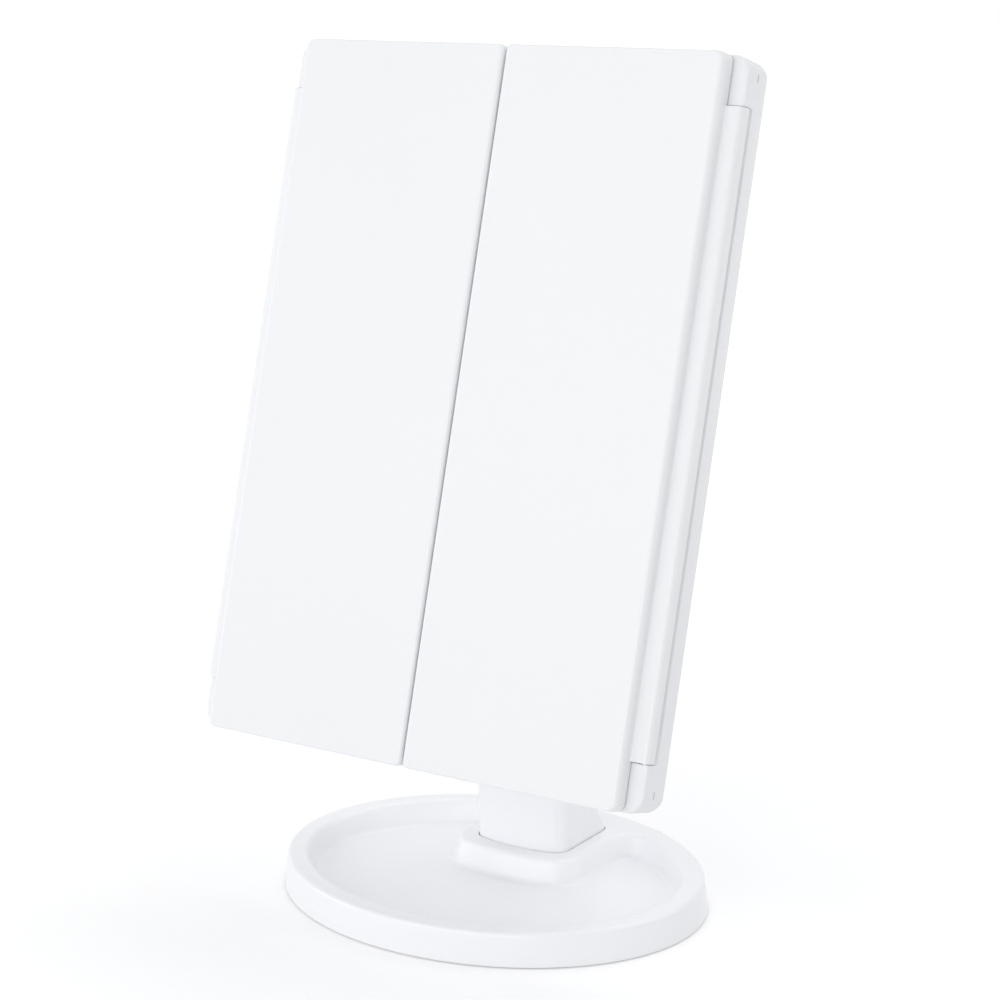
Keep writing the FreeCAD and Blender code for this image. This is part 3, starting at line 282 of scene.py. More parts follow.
def plainMetal(name):
    # plated or brushed metal; the pull stretches the marks into brush lines
    look, skin = metalLook[name], metalSkin
    colour, share = look["colour"], skin["spotShare"]
    material, wire = startFinish(name)
    place = objectPlace(wire)
    marks = noise(wire, stretched(wire, place, look["pull"]), look["marks"], detail=4.0,
                  roughness=0.6)
    spots = noise(wire, place, skin["spots"], detail=3.0)
    mixed = spots * share + marks * (1 - share)
    endFinish(wire, {
        "Base Color": blend(wire, mixed, darker(colour, skin["dark"]), colour),
        "Metallic": 1.0,
        "Roughness": (marks * skin["markRough"] + spots * skin["spotRough"]
                      + (look["rough"] - skin["smoother"])),
        "Normal": bump(wire, marks, skin["depth"]),
    })
    return material


mattLook = {
    "footRubber": {"colour": (0.10, 0.10, 0.105), "rough": 0.85, "grain": 1800.0,
                   "depth": 0.04},
    "washerNylon": {"colour": (0.80, 0.79, 0.75), "rough": 0.55, "grain": 1500.0,
                    "depth": 0.02},
    "switchBlack": {"colour": (0.045, 0.045, 0.048), "rough": 0.5, "grain": 2000.0,
                    "depth": 0.03},
}
mattSkin = {"coarse": 70.0, "coarseShare": 0.7, "dark": 0.86, "roughSpread": 0.2}


def mattMoulding(name):
    # rubber, nylon and black plastic
    look, skin = mattLook[name], mattSkin
    colour, share, spread = look["colour"], skin["coarseShare"], skin["roughSpread"]
    material, wire = startFinish(name)
    place = objectPlace(wire)
    coarse = noise(wire, place, skin["coarse"], detail=3.0)
    fine = noise(wire, place, look["grain"], roughness=0.6)
    mixed = coarse * share + fine * (1 - share)
    endFinish(wire, {
        "Base Color": blend(wire, mixed, darker(colour, skin["dark"]), colour),
        "Roughness": fine * spread + (look["rough"] - spread / 2),
        "Normal": bump(wire, fine, look["depth"]),
    })
    return material


boardMask = {"boardWhite": (0.82, 0.83, 0.80), "boardGreen": (0.05, 0.20, 0.10)}
boardLook = {"tracks": 420.0, "trackWidth": 0.07, "trackPull": (1.0, 0.3, 1.0),
             "trackLift": 1.12, "trackAdd": 0.02, "vias": 330.0, "viaScatter": 0.7,
             "viaRadius": 0.13, "tin": (0.72, 0.70, 0.66), "viaMetal": 0.9,
             "weave": 1500.0, "weaveRough": 0.15, "weaveShare": 0.4, "rough": 0.3,
             "depth": 0.04}


def circuitBoard(name):
    # lacquered board: copper tracks under the mask, tinned pads and vias
    look, mask = boardLook, boardMask[name]
    black, white = (0.0, 0.0, 0.0), (1.0, 1.0, 1.0)
    material, wire = startFinish(name)
    place = objectPlace(wire)
    tracks = wire.node("ShaderNodeTexBrick", None, {
        "Vector": stretched(wire, place, look["trackPull"]), "Scale": look["tracks"],
        "Mortar Size": look["trackWidth"], "Color1": black, "Color2": black,
        "Mortar": white}, "Color")
    vias = wire.node("ShaderNodeTexVoronoi", None, {
        "Vector": place, "Scale": look["vias"], "Randomness": look["viaScatter"]},
        "Distance") < look["viaRadius"]
    weave = noise(wire, place, look["weave"])
    lit = tuple(min(1.0, c * look["trackLift"] + look["trackAdd"]) for c in mask)
    endFinish(wire, {
        "Base Color": blend(wire, vias, blend(wire, tracks, mask, lit), look["tin"]),
        "Metallic": vias * look["viaMetal"],
        "Roughness": weave * look["weaveRough"] + look["rough"],
        "Normal": bump(wire, weave * look["weaveShare"] + vias, look["depth"]),
    })
    return material


ringLook = {"shade": (0.62, 0.68, 0.76), "colour": (0.74, 0.79, 0.86), "ink": 1800.0,
            "rough": 0.4, "inkRough": 0.2, "depth": 0.01}


def touchMark(name):
    # the ring printed on the main mirror
    look = ringLook
    material, wire = startFinish(name)
    ink = noise(wire, objectPlace(wire), look["ink"])
    endFinish(wire, {
        "Base Color": blend(wire, ink, look["shade"], look["colour"]),
        "Roughness": ink * look["inkRough"] + look["rough"],
        "Normal": bump(wire, ink, look["depth"]),
    })
    return material


cellLook = {"sleeve": (0.20, 0.23, 0.27), "collar": (0.42, 0.44, 0.46),
            "steel": (0.70, 0.70, 0.69), "collarFrom": 15.0, "steelFrom": 23.2,
            "film": 220.0, "filmPull": (1.0, 6.0, 6.0), "filmRough": 0.16, "rough": 0.24,
            "sleeveMetal": 0.35, "steelMetal": 0.6, "depth": 0.02}


def cellJacket(name):
    # plain shrink sleeve in two tones with a bare steel end
    look = cellLook
    material, wire = startFinish(name)
    place = objectPlace(wire)
    across, = distances(wire, place, "X")
    band = wire.node("ShaderNodeMath", {"operation": "ABSOLUTE"}, {0: across})
    steel = band > look["steelFrom"] * mm
    collar = band > look["collarFrom"] * mm
    film = noise(wire, stretched(wire, place, look["filmPull"]), look["film"], detail=3.0)
    sleeve = blend(wire, collar, look["sleeve"], look["collar"])
    endFinish(wire, {
        "Base Color": blend(wire, steel, sleeve, look["steel"]),
        "Metallic": steel * look["steelMetal"] + look["sleeveMetal"],
        "Roughness": film * look["filmRough"] + look["rough"],
        "Normal": bump(wire, film, look["depth"]),
    })
    return material


lampLook = {"shell": ((0.82, 0.82, 0.80), (0.90, 0.90, 0.88)),
            "face": ((0.80, 0.62, 0.12), (0.88, 0.72, 0.22)), "pad": (0.72, 0.72, 0.71),
            "grain": 3000.0, "grainRough": 0.2, "rough": 0.3, "padMetal": 0.95}
lampMarks = {"package": 0.0, "glow": 1.0, "pad": 2.0}


def lampPackage(name):
    # white package, yellow face and tinned pads, told apart by the mark on each part
    look = lampLook
    material, wire = startFinish(name)
    mark = wire.node("ShaderNodeAttribute", {"attribute_name": "lampPart"}, None, "Fac")
    grain = noise(wire, objectPlace(wire), look["grain"])
    shell = blend(wire, grain, *look["shell"])
    face = blend(wire, grain, *look["face"])
    package = blend(wire, mark > lampMarks["glow"] - 0.5, shell, face)
    pads = mark > lampMarks["pad"] - 0.5
    endFinish(wire, {
        "Base Color": blend(wire, pads, package, look["pad"]),
        "Metallic": pads * look["padMetal"],
        "Roughness": grain * look["grainRough"] + look["rough"],
    })
    return material


makers = {
    whitePlastic: whiteLook, plainMetal: metalLook, mattMoulding: mattLook,
    circuitBoard: boardMask, silverGlass: ["mirrorSilver"], frostedCover: ["lightCover"],
    touchMark: ["touchMark"], cellJacket: ["cellJacket"], lampPackage: ["lampPackage"],
}
finishes = {name: maker(name) for maker, names in makers.items() for name in names}
print("finishes made:", len(finishes))


# the wider round where the two wings meet; mm, with the front faces at depth 0

meetingEdge = {"wings": ("left_wing_shell", "right_wing_shell"), "round": 1.5,
               "endRound": 0.6, "corner": 1.9, "cuts": (1.95, 1.5, 1.2, 0.88, 0.5),
               "spare": 0.01, "snap": 0.0001, "speck": 0.002}


def meetingPlace(inward, along, depth):
    # where a point goes that lies this far in from the meeting edge and from its nearer end
    corner = meetingEdge["corner"]
    if inward < corner and along < corner:
        away = math.hypot(corner - inward, corner - along)
        inside = corner - away
        way = ((corner - inward) / away, (corner - along) / away)
    elif inward <= along:
        inside, way = inward, (1.0, 0.0)
    else:
        inside, way = along, (0.0, 1.0)
    radius = meetingEdge["round"] * way[0] ** 2 + meetingEdge["endRound"] * way[1] ** 2
    kept, back = max(inside, 0.0), depth
    if kept < radius and back < radius:
        far = math.hypot(radius - kept, radius - back)
        if far > radius:
            kept = radius - (radius - kept) * radius / far
            back = radius - (radius - back) * radius / far
    shift = kept - inside
    return inward + shift * way[0], along + shift * way[1], back


def roundMeetingEdge(shell, wing):
    # rows of corners are cut in near the edge, then pushed back onto the round
    (left, right), _, (_, top) = headBox(wing)
    side, gap = (1, left) if left > 0 else (-1, -right)
    reach = meetingEdge["cuts"][0] + meetingEdge["spare"]

    def fromEdge(corner):
        return corner.co.x / mm * side - gap

    def fromEnd(corner):
        return min(corner.co.z / mm, top - corner.co.z / mm)

    def nearEdge():
        return [f for f in shell.faces if all(fromEdge(v) < reach for v in f.verts)]

    def cutAt(point, normal, faces):
        edges = dict.fromkeys(e for f in faces for e in f.edges)
        corners = dict.fromkeys(v for f in faces for v in f.verts)
        bmesh.ops.bisect_plane(shell, geom=[*faces, *edges, *corners],
                               dist=meetingEdge["snap"] * mm,
                               plane_co=Vector(point) * mm, plane_no=normal)

    shell.transform(leaned.inverted())
    for cut in meetingEdge["cuts"]:
        cutAt(((gap + cut) * side, 0, 0), (1, 0, 0), shell.faces[:])
    for cut in meetingEdge["cuts"]:
        cutAt((0, 0, cut), (0, 0, 1), nearEdge())
        cutAt((0, 0, top - cut), (0, 0, 1), nearEdge())
        cutAt((0, cut, 0), (0, 1, 0), nearEdge())
    for corner in shell.verts:
        if fromEdge(corner) > reach:
            continue
        low = corner.co.z / mm < top / 2
        inward, along, depth = meetingPlace(fromEdge(corner), fromEnd(corner),
                                            corner.co.y / mm)
        corner.co = Vector(((gap + inward) * side, depth, along if low else top - along)) * mm
    bent = [f for f in nearEdge() if any(fromEnd(v) < reach for v in f.verts)]
    bmesh.ops.triangulate(shell, faces=bent)
    bmesh.ops.dissolve_degenerate(shell, dist=meetingEdge["speck"] * mm,
                                 edges=shell.edges)
    shell.transform(leaned)


# mesh helpers

def plainMesh(name, corners, faces):
    mesh = bpy.data.meshes.new(name)
    mesh.from_pydata([tuple(c) for c in corners], [], faces)
    mesh.update()
    return mesh


def headMesh(name, corners, faces):
    # corners in mm in the head's upright frame
    return plainMesh(name, [leaned @ (Vector(c) * mm) for c in corners], faces)


def bakeModifiers(thing):
    # what the modifiers give becomes the object's own mesh
    seen = thing.evaluated_get(bpy.context.evaluated_depsgraph_get())
    mesh = bpy.data.meshes.new_from_object(seen)
    thing.modifiers.clear()
    thing.data = mesh
    return mesh


def placePiece(name, mesh, finish):
    thing = bpy.data.objects.new(name, mesh)
    bpy.context.scene.collection.objects.link(thing)
    mesh.materials.clear()
    mesh.materials.append(finishes[finish])
    return thing


def finishPiece(thing, body, replaced=()):
    thing.data.name = thing.name
    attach(thing, body)
    if replaced:
        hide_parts(*replaced)
    return thing


edgeLook = {"turn": 38.0, "segments": 2, "speck": 0.002, "sharp": 50.0, "weight": 80}


def softEdges(thing, width, wing=None):
    # the small radius that every moulded or ground edge has, with even shading across it
    thing.data.shade_smooth()
    edge = thing.modifiers.new("edgeRadius", "BEVEL")
    edge.width = width * mm
    edge.segments = edgeLook["segments"]
    edge.limit_method = "ANGLE"
    edge.angle_limit = math.radians(edgeLook["turn"])
    edge.use_clamp_overlap = True
    edge.miter_outer = "MITER_ARC"
    bakeModifiers(thing)
    clean = bmesh.new()
    clean.from_mesh(thing.data)
    bmesh.ops.dissolve_degenerate(clean, dist=edgeLook["speck"] * mm, edges=clean.edges)
    if wing:
        roundMeetingEdge(clean, wing)
    clean.to_mesh(thing.data)
    clean.free()
    thing.data.set_sharp_from_angle(angle=math.radians(edgeLook["sharp"]))
    even = thing.modifiers.new("evenShading", "WEIGHTED_NORMAL")
    even.keep_sharp = True
    even.weight = edgeLook["weight"]
    bakeModifiers(thing)


copyLook = {"weld": 0.004, "flat": 0.35}  # mm, degrees


def mouldedCopy(node, name, finish, body, width):
    # the CAD solid with its triangles joined up and its edges softened
    solid = bmesh.new()
    solid.from_mesh(nodes[node].data)
    bmesh.ops.remove_doubles(solid, verts=solid.verts, dist=copyLook["weld"] * mm)
    bmesh.ops.dissolve_limit(solid, angle_limit=math.radians(copyLook["flat"]),
                             verts=solid.verts, edges=solid.edges)
    solid.verts.index_update()
    corners = [v.co.copy() for v in solid.verts]
    faces = [[v.index for v in f.verts] for f in solid.faces]
    solid.free()
    thing = placePiece(name, plainMesh(name, corners, faces), finish)
    softEdges(thing, width, node if node in meetingEdge["wings"] else None)
    return finishPiece(thing, body, (node,))


# base, neck and head shells: name, finish, body, slot and edge radius in mm

mouldings = {
    "base_tray": ("trayBase", "baseWhite", "base", "base_shell", 0.15),
    "neck_column": ("neckColumn", "baseWhite", "base", "neck_shell", 0.3),
    "front_frame": ("frontFrame", "bodyWhite", "head", "body_shell", 0.2),
    "rear_cover": ("rearCover", "bodyWhite", "head", "body_shell", 0.2),
    "axle_caps": ("axleCaps", "bodyWhite", "head", "cap_white", 0.12),
    "battery_lid": ("batteryLid", "bodyWhite", "battery_cover", "body_shell", 0.2),
    "switch_knob": ("switchKnob", "frameWhite", "power_switch", "knob_white", 0.1),
    "right_wing_shell": ("rightWingShell", "wingWhite", "right_wing", "wing_shell", 0.15),
    "left_wing_shell": ("leftWingShell", "wingWhite", "left_wing", "wing_shell", 0.15),
    "right_wing_frame": ("rightWingFrame", "frameWhite", "right_wing", "wing_shell", 0.15),
    "left_wing_frame": ("leftWingFrame", "frameWhite", "left_wing", "wing_shell", 0.15),
    "left_light_diffuser": ("leftLightCover", "lightCover", "head", "light_cover", 0.15),
    "right_light_diffuser": ("rightLightCover", "lightCover", "head", "light_cover", 0.15),
    "power_inlet": ("powerInlet", "platedSteel", "head", "plated_steel", 0.08),
}

for node, (name, finish, body, slot, width) in mouldings.items():
    made = mouldedCopy(node, name, finish, body, width)
    print("moulding", name, len(made.data.polygons), "faces")


# mirrors: mm in the head's upright frame; a hollow face is part of a sphere

paneLook = {"edge": 0.25, "cornerSteps": 8, "rings": 18, "sharp": 25.0}
panes = {
    "centreMirror": {"node": "centre_mirror", "body": "head", "corner": 0.6, "face": 6.2,
                     "back": 8.0, "curve": 0, "hollow": 0},
    "rightWingMirror": {"node": "right_wing_mirror", "body": "right_wing", "corner": 2.0,
                        "face": 5.3, "back": 3.3, "curve": 0, "hollow": 0},
    "leftMagnifierLower": {"node": "left_magnifier_lower", "body": "left_wing",
                           "corner": 2.0, "face": 5.3, "back": 1.6, "curve": 820.0,
                           "hollow": 2.45},
    "leftMagnifierUpper": {"node": "left_magnifier_upper", "body": "left_wing",
                           "corner": 2.0, "face": 5.3, "back": 1.6, "curve": 1200.0,
                           "hollow": 1.9},
}


def paneOutline(pane, inset):
    # rounded rectangle, anticlockwise in x and z
    (x0, x1), _, (z0, z1) = headBox(pane["node"])
    radius, steps = pane["corner"], paneLook["cornerSteps"]
    centres = [(x1 - radius, z1 - radius, 0), (x0 + radius, z1 - radius, 90),
               (x0 + radius, z0 + radius, 180), (x1 - radius, z0 + radius, 270)]
    points = []
    for x, z, start in centres:
        for i in range(steps + 1):
            angle = math.radians(start + 90.0 * i / steps)
            reach = radius - inset
            points.append((x + reach * math.cos(angle), z + reach * math.sin(angle)))
    return points


def glassPane(name, pane):
    # a back, a side with a ground edge, and a flat face or rings of a hollow one
    midX, _, midZ = [sum(limits) / 2 for limits in headBox(pane["node"])]
    curve, hollow = pane["curve"], pane["hollow"]
    facing = 1 if pane["face"] > pane["back"] else -1

    def faceDepth(x, z):
        if not curve:
            return pane["face"]
        away = (x - midX) ** 2 + (z - midZ) ** 2
        return pane["face"] - hollow + curve - math.sqrt(curve ** 2 - away)

    edge = paneLook["edge"]
    outline, inner = paneOutline(pane, 0.0), paneOutline(pane, edge)
    count = len(outline)
    corners = [(x, pane["back"], z) for x, z in outline]
    corners += [(x, faceDepth(x, z) - edge * facing, z) for x, z in outline]
    corners += [(x, faceDepth(x, z), z) for x, z in inner]
    rings = paneLook["rings"] if curve else 0
    for ring in range(1, rings):
        share = 1 - ring / rings
        for x, z in inner:
            px, pz = midX + (x - midX) * share, midZ + (z - midZ) * share
            corners.append((px, faceDepth(px, pz), pz))
    faces = [list(range(count))]
    levels = len(corners) // count
    for level in range(levels - 1):
        for i in range(count):
            j = (i + 1) % count
            a, b = level * count, (level + 1) * count
            faces.append([a + i, b + i, b + j, a + j])
    last = (levels - 1) * count
    if curve:
        corners.append((midX, faceDepth(midX, midZ), midZ))
        faces += [[last + i, len(corners) - 1, last + (i + 1) % count] for i in range(count)]
    else:
        faces.append([last + i for i in reversed(range(count))])
    mesh = headMesh(name, corners, faces)
    outward = bmesh.new()
    outward.from_mesh(mesh)
    bmesh.ops.recalc_face_normals(outward, faces=outward.faces)
    outward.to_mesh(mesh)
    outward.free()
    thing = placePiece(name, mesh, "mirrorSilver")
    mesh.shade_smooth()
    mesh.set_sharp_from_angle(angle=math.radians(paneLook["sharp"]))
    return finishPiece(thing, pane["body"], (pane["node"],))


for name, pane in panes.items():
    glassPane(name, pane)
print("mirrors made:", len(panes))


# repeated pieces: screws, lamps, springs and grip ribs

def openTree(name, inputs):
    tree = bpy.data.node_groups.new(name, "GeometryNodeTree")
    tree.interface.new_socket(name="Geometry", in_out="OUTPUT",
                              socket_type="NodeSocketGeometry")
    for label, kind in inputs.items():
        tree.interface.new_socket(name=label, in_out="INPUT", socket_type="NodeSocket" + kind)
    wire = Wire(tree)
    return tree, wire, {label: wire.node("NodeGroupInput", None, None, label)
                        for label in inputs}


def closeTree(wire, geometry, finish):
    real = wire.node("GeometryNodeRealizeInstances", None, {"Geometry": geometry})
    dressed = wire.node("GeometryNodeSetMaterial", None,
                        {"Geometry": real, "Material": finishes[finish]})
    wire.node("NodeGroupOutput", None, {"Geometry": dressed})


grownLook = {"sharp": 35.0}


def growPiece(name, tree, values, place, body, replaced=()):
    # the tree's inputs are set before it first runs, then its result is the piece's mesh
    thing = bpy.data.objects.new(name, bpy.data.meshes.new(name))
    bpy.context.scene.collection.objects.link(thing)
    maker = thing.modifiers.new("maker", "NODES")
    maker.node_group = tree
    for item in tree.interface.items_tree:
        if item.in_out == "INPUT":
            maker[item.identifier] = values[item.name]
    mesh = bakeModifiers(thing)
    mesh.transform(place)
    mesh.set_sharp_from_angle(angle=math.radians(grownLook["sharp"]))
    print("grown", name, len(mesh.polygons), "faces")
    return finishPiece(thing, body, replaced)


def moved(wire, geometry, place=(0.0, 0.0, 0.0), turn=(0.0, 0.0, 0.0)):
    return wire.node("GeometryNodeTransform", None, {"Geometry": geometry,
                                                     "Translation": place, "Rotation": turn})


def spot(wire, x=0.0, y=0.0, z=0.0):
    return wire.node("ShaderNodeCombineXYZ", None, {"X": x, "Y": y, "Z": z})


def joined(wire, *parts):
    return wire.node("GeometryNodeJoinGeometry", None, {"Geometry": list(parts)})


def block(wire, size):
    return wire.node("GeometryNodeMeshCube", None, {"Size": size}, "Mesh")


def rowOf(wire, count, step, axis):
    # points in a row about the middle
    start = step * (count - 1.0) * -0.5
    return wire.node("GeometryNodeMeshLine", {"mode": "OFFSET"}, {
        "Count": count, "Start Location": spot(wire, **{axis: start}),
        "Offset": spot(wire, **{axis: step})})


# shares of the screw head's radius and height, and counts of sides and rings
screwLook = {"sides": 36, "rings": 6, "dome": 0.42, "domeAbove": 0.49, "slotLong": 1.25,
             "slotWide": 0.26, "slotDeep": 1.1, "slotUp": 0.55, "shankSides": 20}


def screwTree():
    # domed head with a cross recess, and its shank; every cross stands at its own angle
    look = screwLook
    tree, wire, given = openTree("crossScrews", {
        "Columns": "Int", "Rows": "Int", "Step X": "Float", "Step Y": "Float",
        "Head Radius": "Float", "Head Height": "Float", "Shank Radius": "Float",
        "Shank Length": "Float", "Seed": "Int"})
    radius, height = given["Head Radius"], given["Head Height"]
    head = wire.node("GeometryNodeMeshCylinder", {"fill_type": "TRIANGLE_FAN"}, {
        "Vertices": look["sides"], "Fill Segments": look["rings"], "Radius": radius,
        "Depth": height}, "Mesh")
    x, y, z = distances(wire, wire.node("GeometryNodeInputPosition"))
    reach = (x * x + y * y) ** 0.5 / radius
    drop = reach ** 3.0 * height * look["dome"]
    head = wire.node("GeometryNodeSetPosition", None, {
        "Geometry": head, "Selection": z > height * look["domeAbove"],
        "Offset": spot(wire, z=drop * -1.0)})
    slot = spot(wire, x=radius * look["slotLong"], y=radius * look["slotWide"],
                z=height * look["slotDeep"])
    bar = moved(wire, block(wire, slot), spot(wire, z=height * look["slotUp"]))
    cross = joined(wire, bar, moved(wire, bar, turn=(0.0, 0.0, math.pi / 2)))
    head = wire.node("GeometryNodeMeshBoolean", {"operation": "DIFFERENCE", "solver": "EXACT"},
                     {"Mesh 1": head, "Mesh 2": [cross], "Self Intersection": True}, "Mesh")
    shank = wire.node("GeometryNodeMeshCylinder", None, {
        "Vertices": look["shankSides"], "Radius": given["Shank Radius"],
        "Depth": given["Shank Length"]}, "Mesh")
    below = (given["Shank Length"] + height) * -0.5
    screw = joined(wire, head, moved(wire, shank, spot(wire, z=below)))
    across = rowOf(wire, given["Columns"], given["Step X"], "x")
    along = rowOf(wire, given["Rows"], given["Step Y"], "y")
    grid = wire.node("GeometryNodeInstanceOnPoints", None, {"Points": across,
                                                            "Instance": along})
    points = wire.node("GeometryNodeRealizeInstances", None, {"Geometry": grid})
    angle = wire.node("FunctionNodeRandomValue", {"data_type": "FLOAT"},
                      {"Min_001": 0.0, "Max_001": math.pi / 2, "Seed": given["Seed"]},
                      "Value_001")
    placed = wire.node("GeometryNodeInstanceOnPoints", None, {
        "Points": points, "Instance": screw, "Rotation": spot(wire, z=angle)})
    closeTree(wire, placed, "platedSteel")
    return tree


# each part's size and middle, as shares of the lamp's width, height and length
lampParts = {
    "body": ((1.0, 0.82, 1.0), (0.0, 0.0, 0.0)),
    "dish": ((0.74, 0.5, 0.74), (0.0, -0.5, 0.0)),
    "glow": ((0.72, 0.4, 0.72), (0.0, -0.14, 0.0)),
    "lowPad": ((0.8, 0.2, 0.16), (0.0, 0.42, -0.56)),
    "highPad": ((0.8, 0.2, 0.16), (0.0, 0.42, 0.56)),
}


def lampTree():
    # a row of small lamps: white package, sunk yellow face, two solder pads
    tree, wire, given = openTree("lampRow", {
        "Count": "Int", "Step": "Float", "Wide": "Float", "Tall": "Float", "High": "Float"})
    size = (given["Wide"], given["High"], given["Tall"])

    def part(name):
        sizes, middle = [[whole * share for whole, share in zip(size, shares)]
                         for shares in lampParts[name]]
        return moved(wire, block(wire, spot(wire, *sizes)), spot(wire, *middle))

    package = wire.node("GeometryNodeMeshBoolean",
                        {"operation": "DIFFERENCE", "solver": "EXACT"},
                        {"Mesh 1": part("body"), "Mesh 2": [part("dish")]}, "Mesh")
    parts = ((package, "package"), (part("glow"), "glow"), (part("lowPad"), "pad"),
             (part("highPad"), "pad"))
    marked = [wire.node("GeometryNodeStoreNamedAttribute",
                        {"data_type": "FLOAT", "domain": "POINT"},
                        {"Geometry": made, "Name": "lampPart", "Value": lampMarks[mark]})
              for made, mark in parts]
    row = rowOf(wire, given["Count"], given["Step"], "z")
    placed = wire.node("GeometryNodeInstanceOnPoints", None,
                       {"Points": row, "Instance": joined(wire, *marked)})
    closeTree(wire, placed, "lampPackage")
    return tree


springLook = {"steps": 28, "sides": 10}  # per turn and round the wire


def springTree():
    # round-wire cone springs, turned end for end from one cell to the next
    tree, wire, given = openTree("cellSprings", {
        "Count": "Int", "Step": "Float", "Turns": "Float", "Wide Radius": "Float",
        "Narrow Radius": "Float", "Height": "Float", "Wire Radius": "Float",
        "From Middle": "Float"})
    coil = wire.node("GeometryNodeCurveSpiral", None, {
        "Resolution": springLook["steps"], "Rotations": given["Turns"],
        "Start Radius": given["Wide Radius"], "End Radius": given["Narrow Radius"],
        "Height": given["Height"]})
    section = wire.node("GeometryNodeCurvePrimitiveCircle", {"mode": "RADIUS"},
                        {"Resolution": springLook["sides"], "Radius": given["Wire Radius"]},
                        "Curve")
    rod = wire.node("GeometryNodeCurveToMesh", None, {"Curve": coil, "Profile Curve": section,
                                                      "Fill Caps": True})
    lying = moved(wire, moved(wire, rod, turn=(0.0, math.pi / 2, 0.0)),
                  spot(wire, x=given["From Middle"] * -1.0))
    index = wire.node("GeometryNodeInputIndex")
    placed = wire.node("GeometryNodeInstanceOnPoints", None, {
        "Points": rowOf(wire, given["Count"], given["Step"], "z"), "Instance": lying,
        "Rotation": spot(wire, z=index % 2.0 * math.pi)})
    closeTree(wire, placed, "contactNickel")
    return tree


ribLook = {"slope": 0.35}  # how much of its thickness a bar loses towards its top


def ribTree():
    # the finger grip: bars with sloping sides, standing in the lid's recess
    tree, wire, given = openTree("gripRibs", {
        "Count": "Int", "Step": "Float", "Length": "Float", "Thick": "Float",
        "High": "Float"})
    bar = block(wire, spot(wire, given["Length"], given["High"], given["Thick"]))
    out, up = distances(wire, wire.node("GeometryNodeInputPosition"), "YZ")
    bar = wire.node("GeometryNodeSetPosition", None, {
        "Geometry": bar, "Selection": out > 0.0,
        "Offset": spot(wire, z=up * -ribLook["slope"])})
    placed = wire.node("GeometryNodeInstanceOnPoints", None, {
        "Points": rowOf(wire, given["Count"], given["Step"], "z"), "Instance": bar})
    closeTree(wire, placed, "bodyWhite")
    return tree


def placeAt(x, y, z, turn=0.0):
    # a place in mm, with a turn about x in degrees
    return (Matrix.Translation((x * mm, y * mm, z * mm))
            @ Matrix.Rotation(math.radians(turn), 4, "X"))


bodyScrews = {"Columns": 2, "Rows": 3, "Step X": 130.4 * mm, "Step Y": 107.0 * mm,
              "Head Radius": 2.6 * mm, "Head Height": 1.6 * mm, "Shank Radius": 1.3 * mm,
              "Shank Length": 9.7 * mm, "Seed": 7, "place": (0, 20.1, 119.0, -90.0)}
neckScrews = {**bodyScrews, "Columns": 1, "Rows": 2, "Step Y": 14.0 * mm,
              "Shank Length": 12.4 * mm, "Seed": 3, "place": (0, 30.35, 2.5, 180.0)}
screws = screwTree()
growPiece("bodyScrews", screws, bodyScrews, leaned @ placeAt(*bodyScrews["place"]), "head",
          ("body_screws",))
growPiece("neckScrews", screws, neckScrews, placeAt(*neckScrews["place"]), "base",
          ("neck_screws",))

lampRow = {"Count": 18, "Step": 12.147 * mm, "Wide": 2.8 * mm, "Tall": 3.5 * mm,
           "High": 1.1 * mm, "depth": 9.04}
lampBoard = {"front": 9.6, "edge": 0.12}


def lampBoardPlate(name, node):
    (left, right), (_, back), (low, high) = headBox(node)
    front = lampBoard["front"]
    corners = [(x, y, z) for z in (low, high)
               for x, y in ((left, front), (right, front), (right, back), (left, back))]
    faces = [[3, 2, 1, 0], [4, 5, 6, 7], [0, 1, 5, 4], [1, 2, 6, 5], [2, 3, 7, 6],
             [3, 0, 4, 7]]
    thing = placePiece(name, headMesh(name, corners, faces), "boardWhite")
    softEdges(thing, lampBoard["edge"])
    return finishPiece(thing, "head", (node,))


lamps = lampTree()
for side in ("left", "right"):
    node = side + "_led_board"
    lampBoardPlate(side + "LampBoard", node)
    x, _, up = [sum(limits) / 2 for limits in headBox(node)]
    growPiece(side + "Lamps", lamps, lampRow, leaned @ placeAt(x, lampRow["depth"], up),
              "head")

cellSprings = {"Count": 4, "Step": 12.2 * mm, "Turns": 3.0, "Wide Radius": 3.0 * mm,
               "Narrow Radius": 2.3 * mm, "Height": 2.2 * mm, "Wire Radius": 0.29 * mm,
               "From Middle": 23.9 * mm, "place": (0, 20.35, 116.8)}
growPiece("cellSprings", springTree(), cellSprings, leaned @ placeAt(*cellSprings["place"]),
          "head", ("battery_springs",))

gripRibs = {"Count": 4, "Step": 1.05 * mm, "Length": 11.0 * mm, "Thick": 0.55 * mm,
            "High": 0.5 * mm, "place": (0, 26.93, 136.1)}
growPiece("lidGrip", ribTree(), gripRibs, leaned @ placeAt(*gripRibs["place"]),
          "battery_cover")


# finishes of the pieces that keep their CAD mesh

keptFinishes = {
    "base_plate": "sheetSteel", "foot_pads": "footRubber",
    "friction_washers": "washerNylon", "tilt_axle": "platedSteel", "touch_ring": "touchMark",
    "touch_sensor_board": "boardWhite", "main_board": "boardGreen", "switch_case": "switchBlack",
    "battery_cells": "cellJacket", "battery_contacts": "contactNickel",
    "right_hinge_pins": "platedSteel", "left_hinge_pins": "platedSteel",
}
for node, finish in keptFinishes.items():
    slots = nodes[node].data.materials
    slots.clear()
    slots.append(finishes[finish])
print("kept nodes finished:", len(keptFinishes))


# floor, light and camera

stageLook = {"floorHalf": 4.0, "floorColour": (0.86, 0.86, 0.865), "floorGlow": 0.235,
             "farGlow": 0.75, "farFrom": 0.12, "farTo": 1.3, "grain": 300.0,
             "grainDark": 0.995, "white": (1.0, 1.0, 1.0), "roomLight": 0.63,
             "roomColour": (0.985, 0.992, 1.0)}


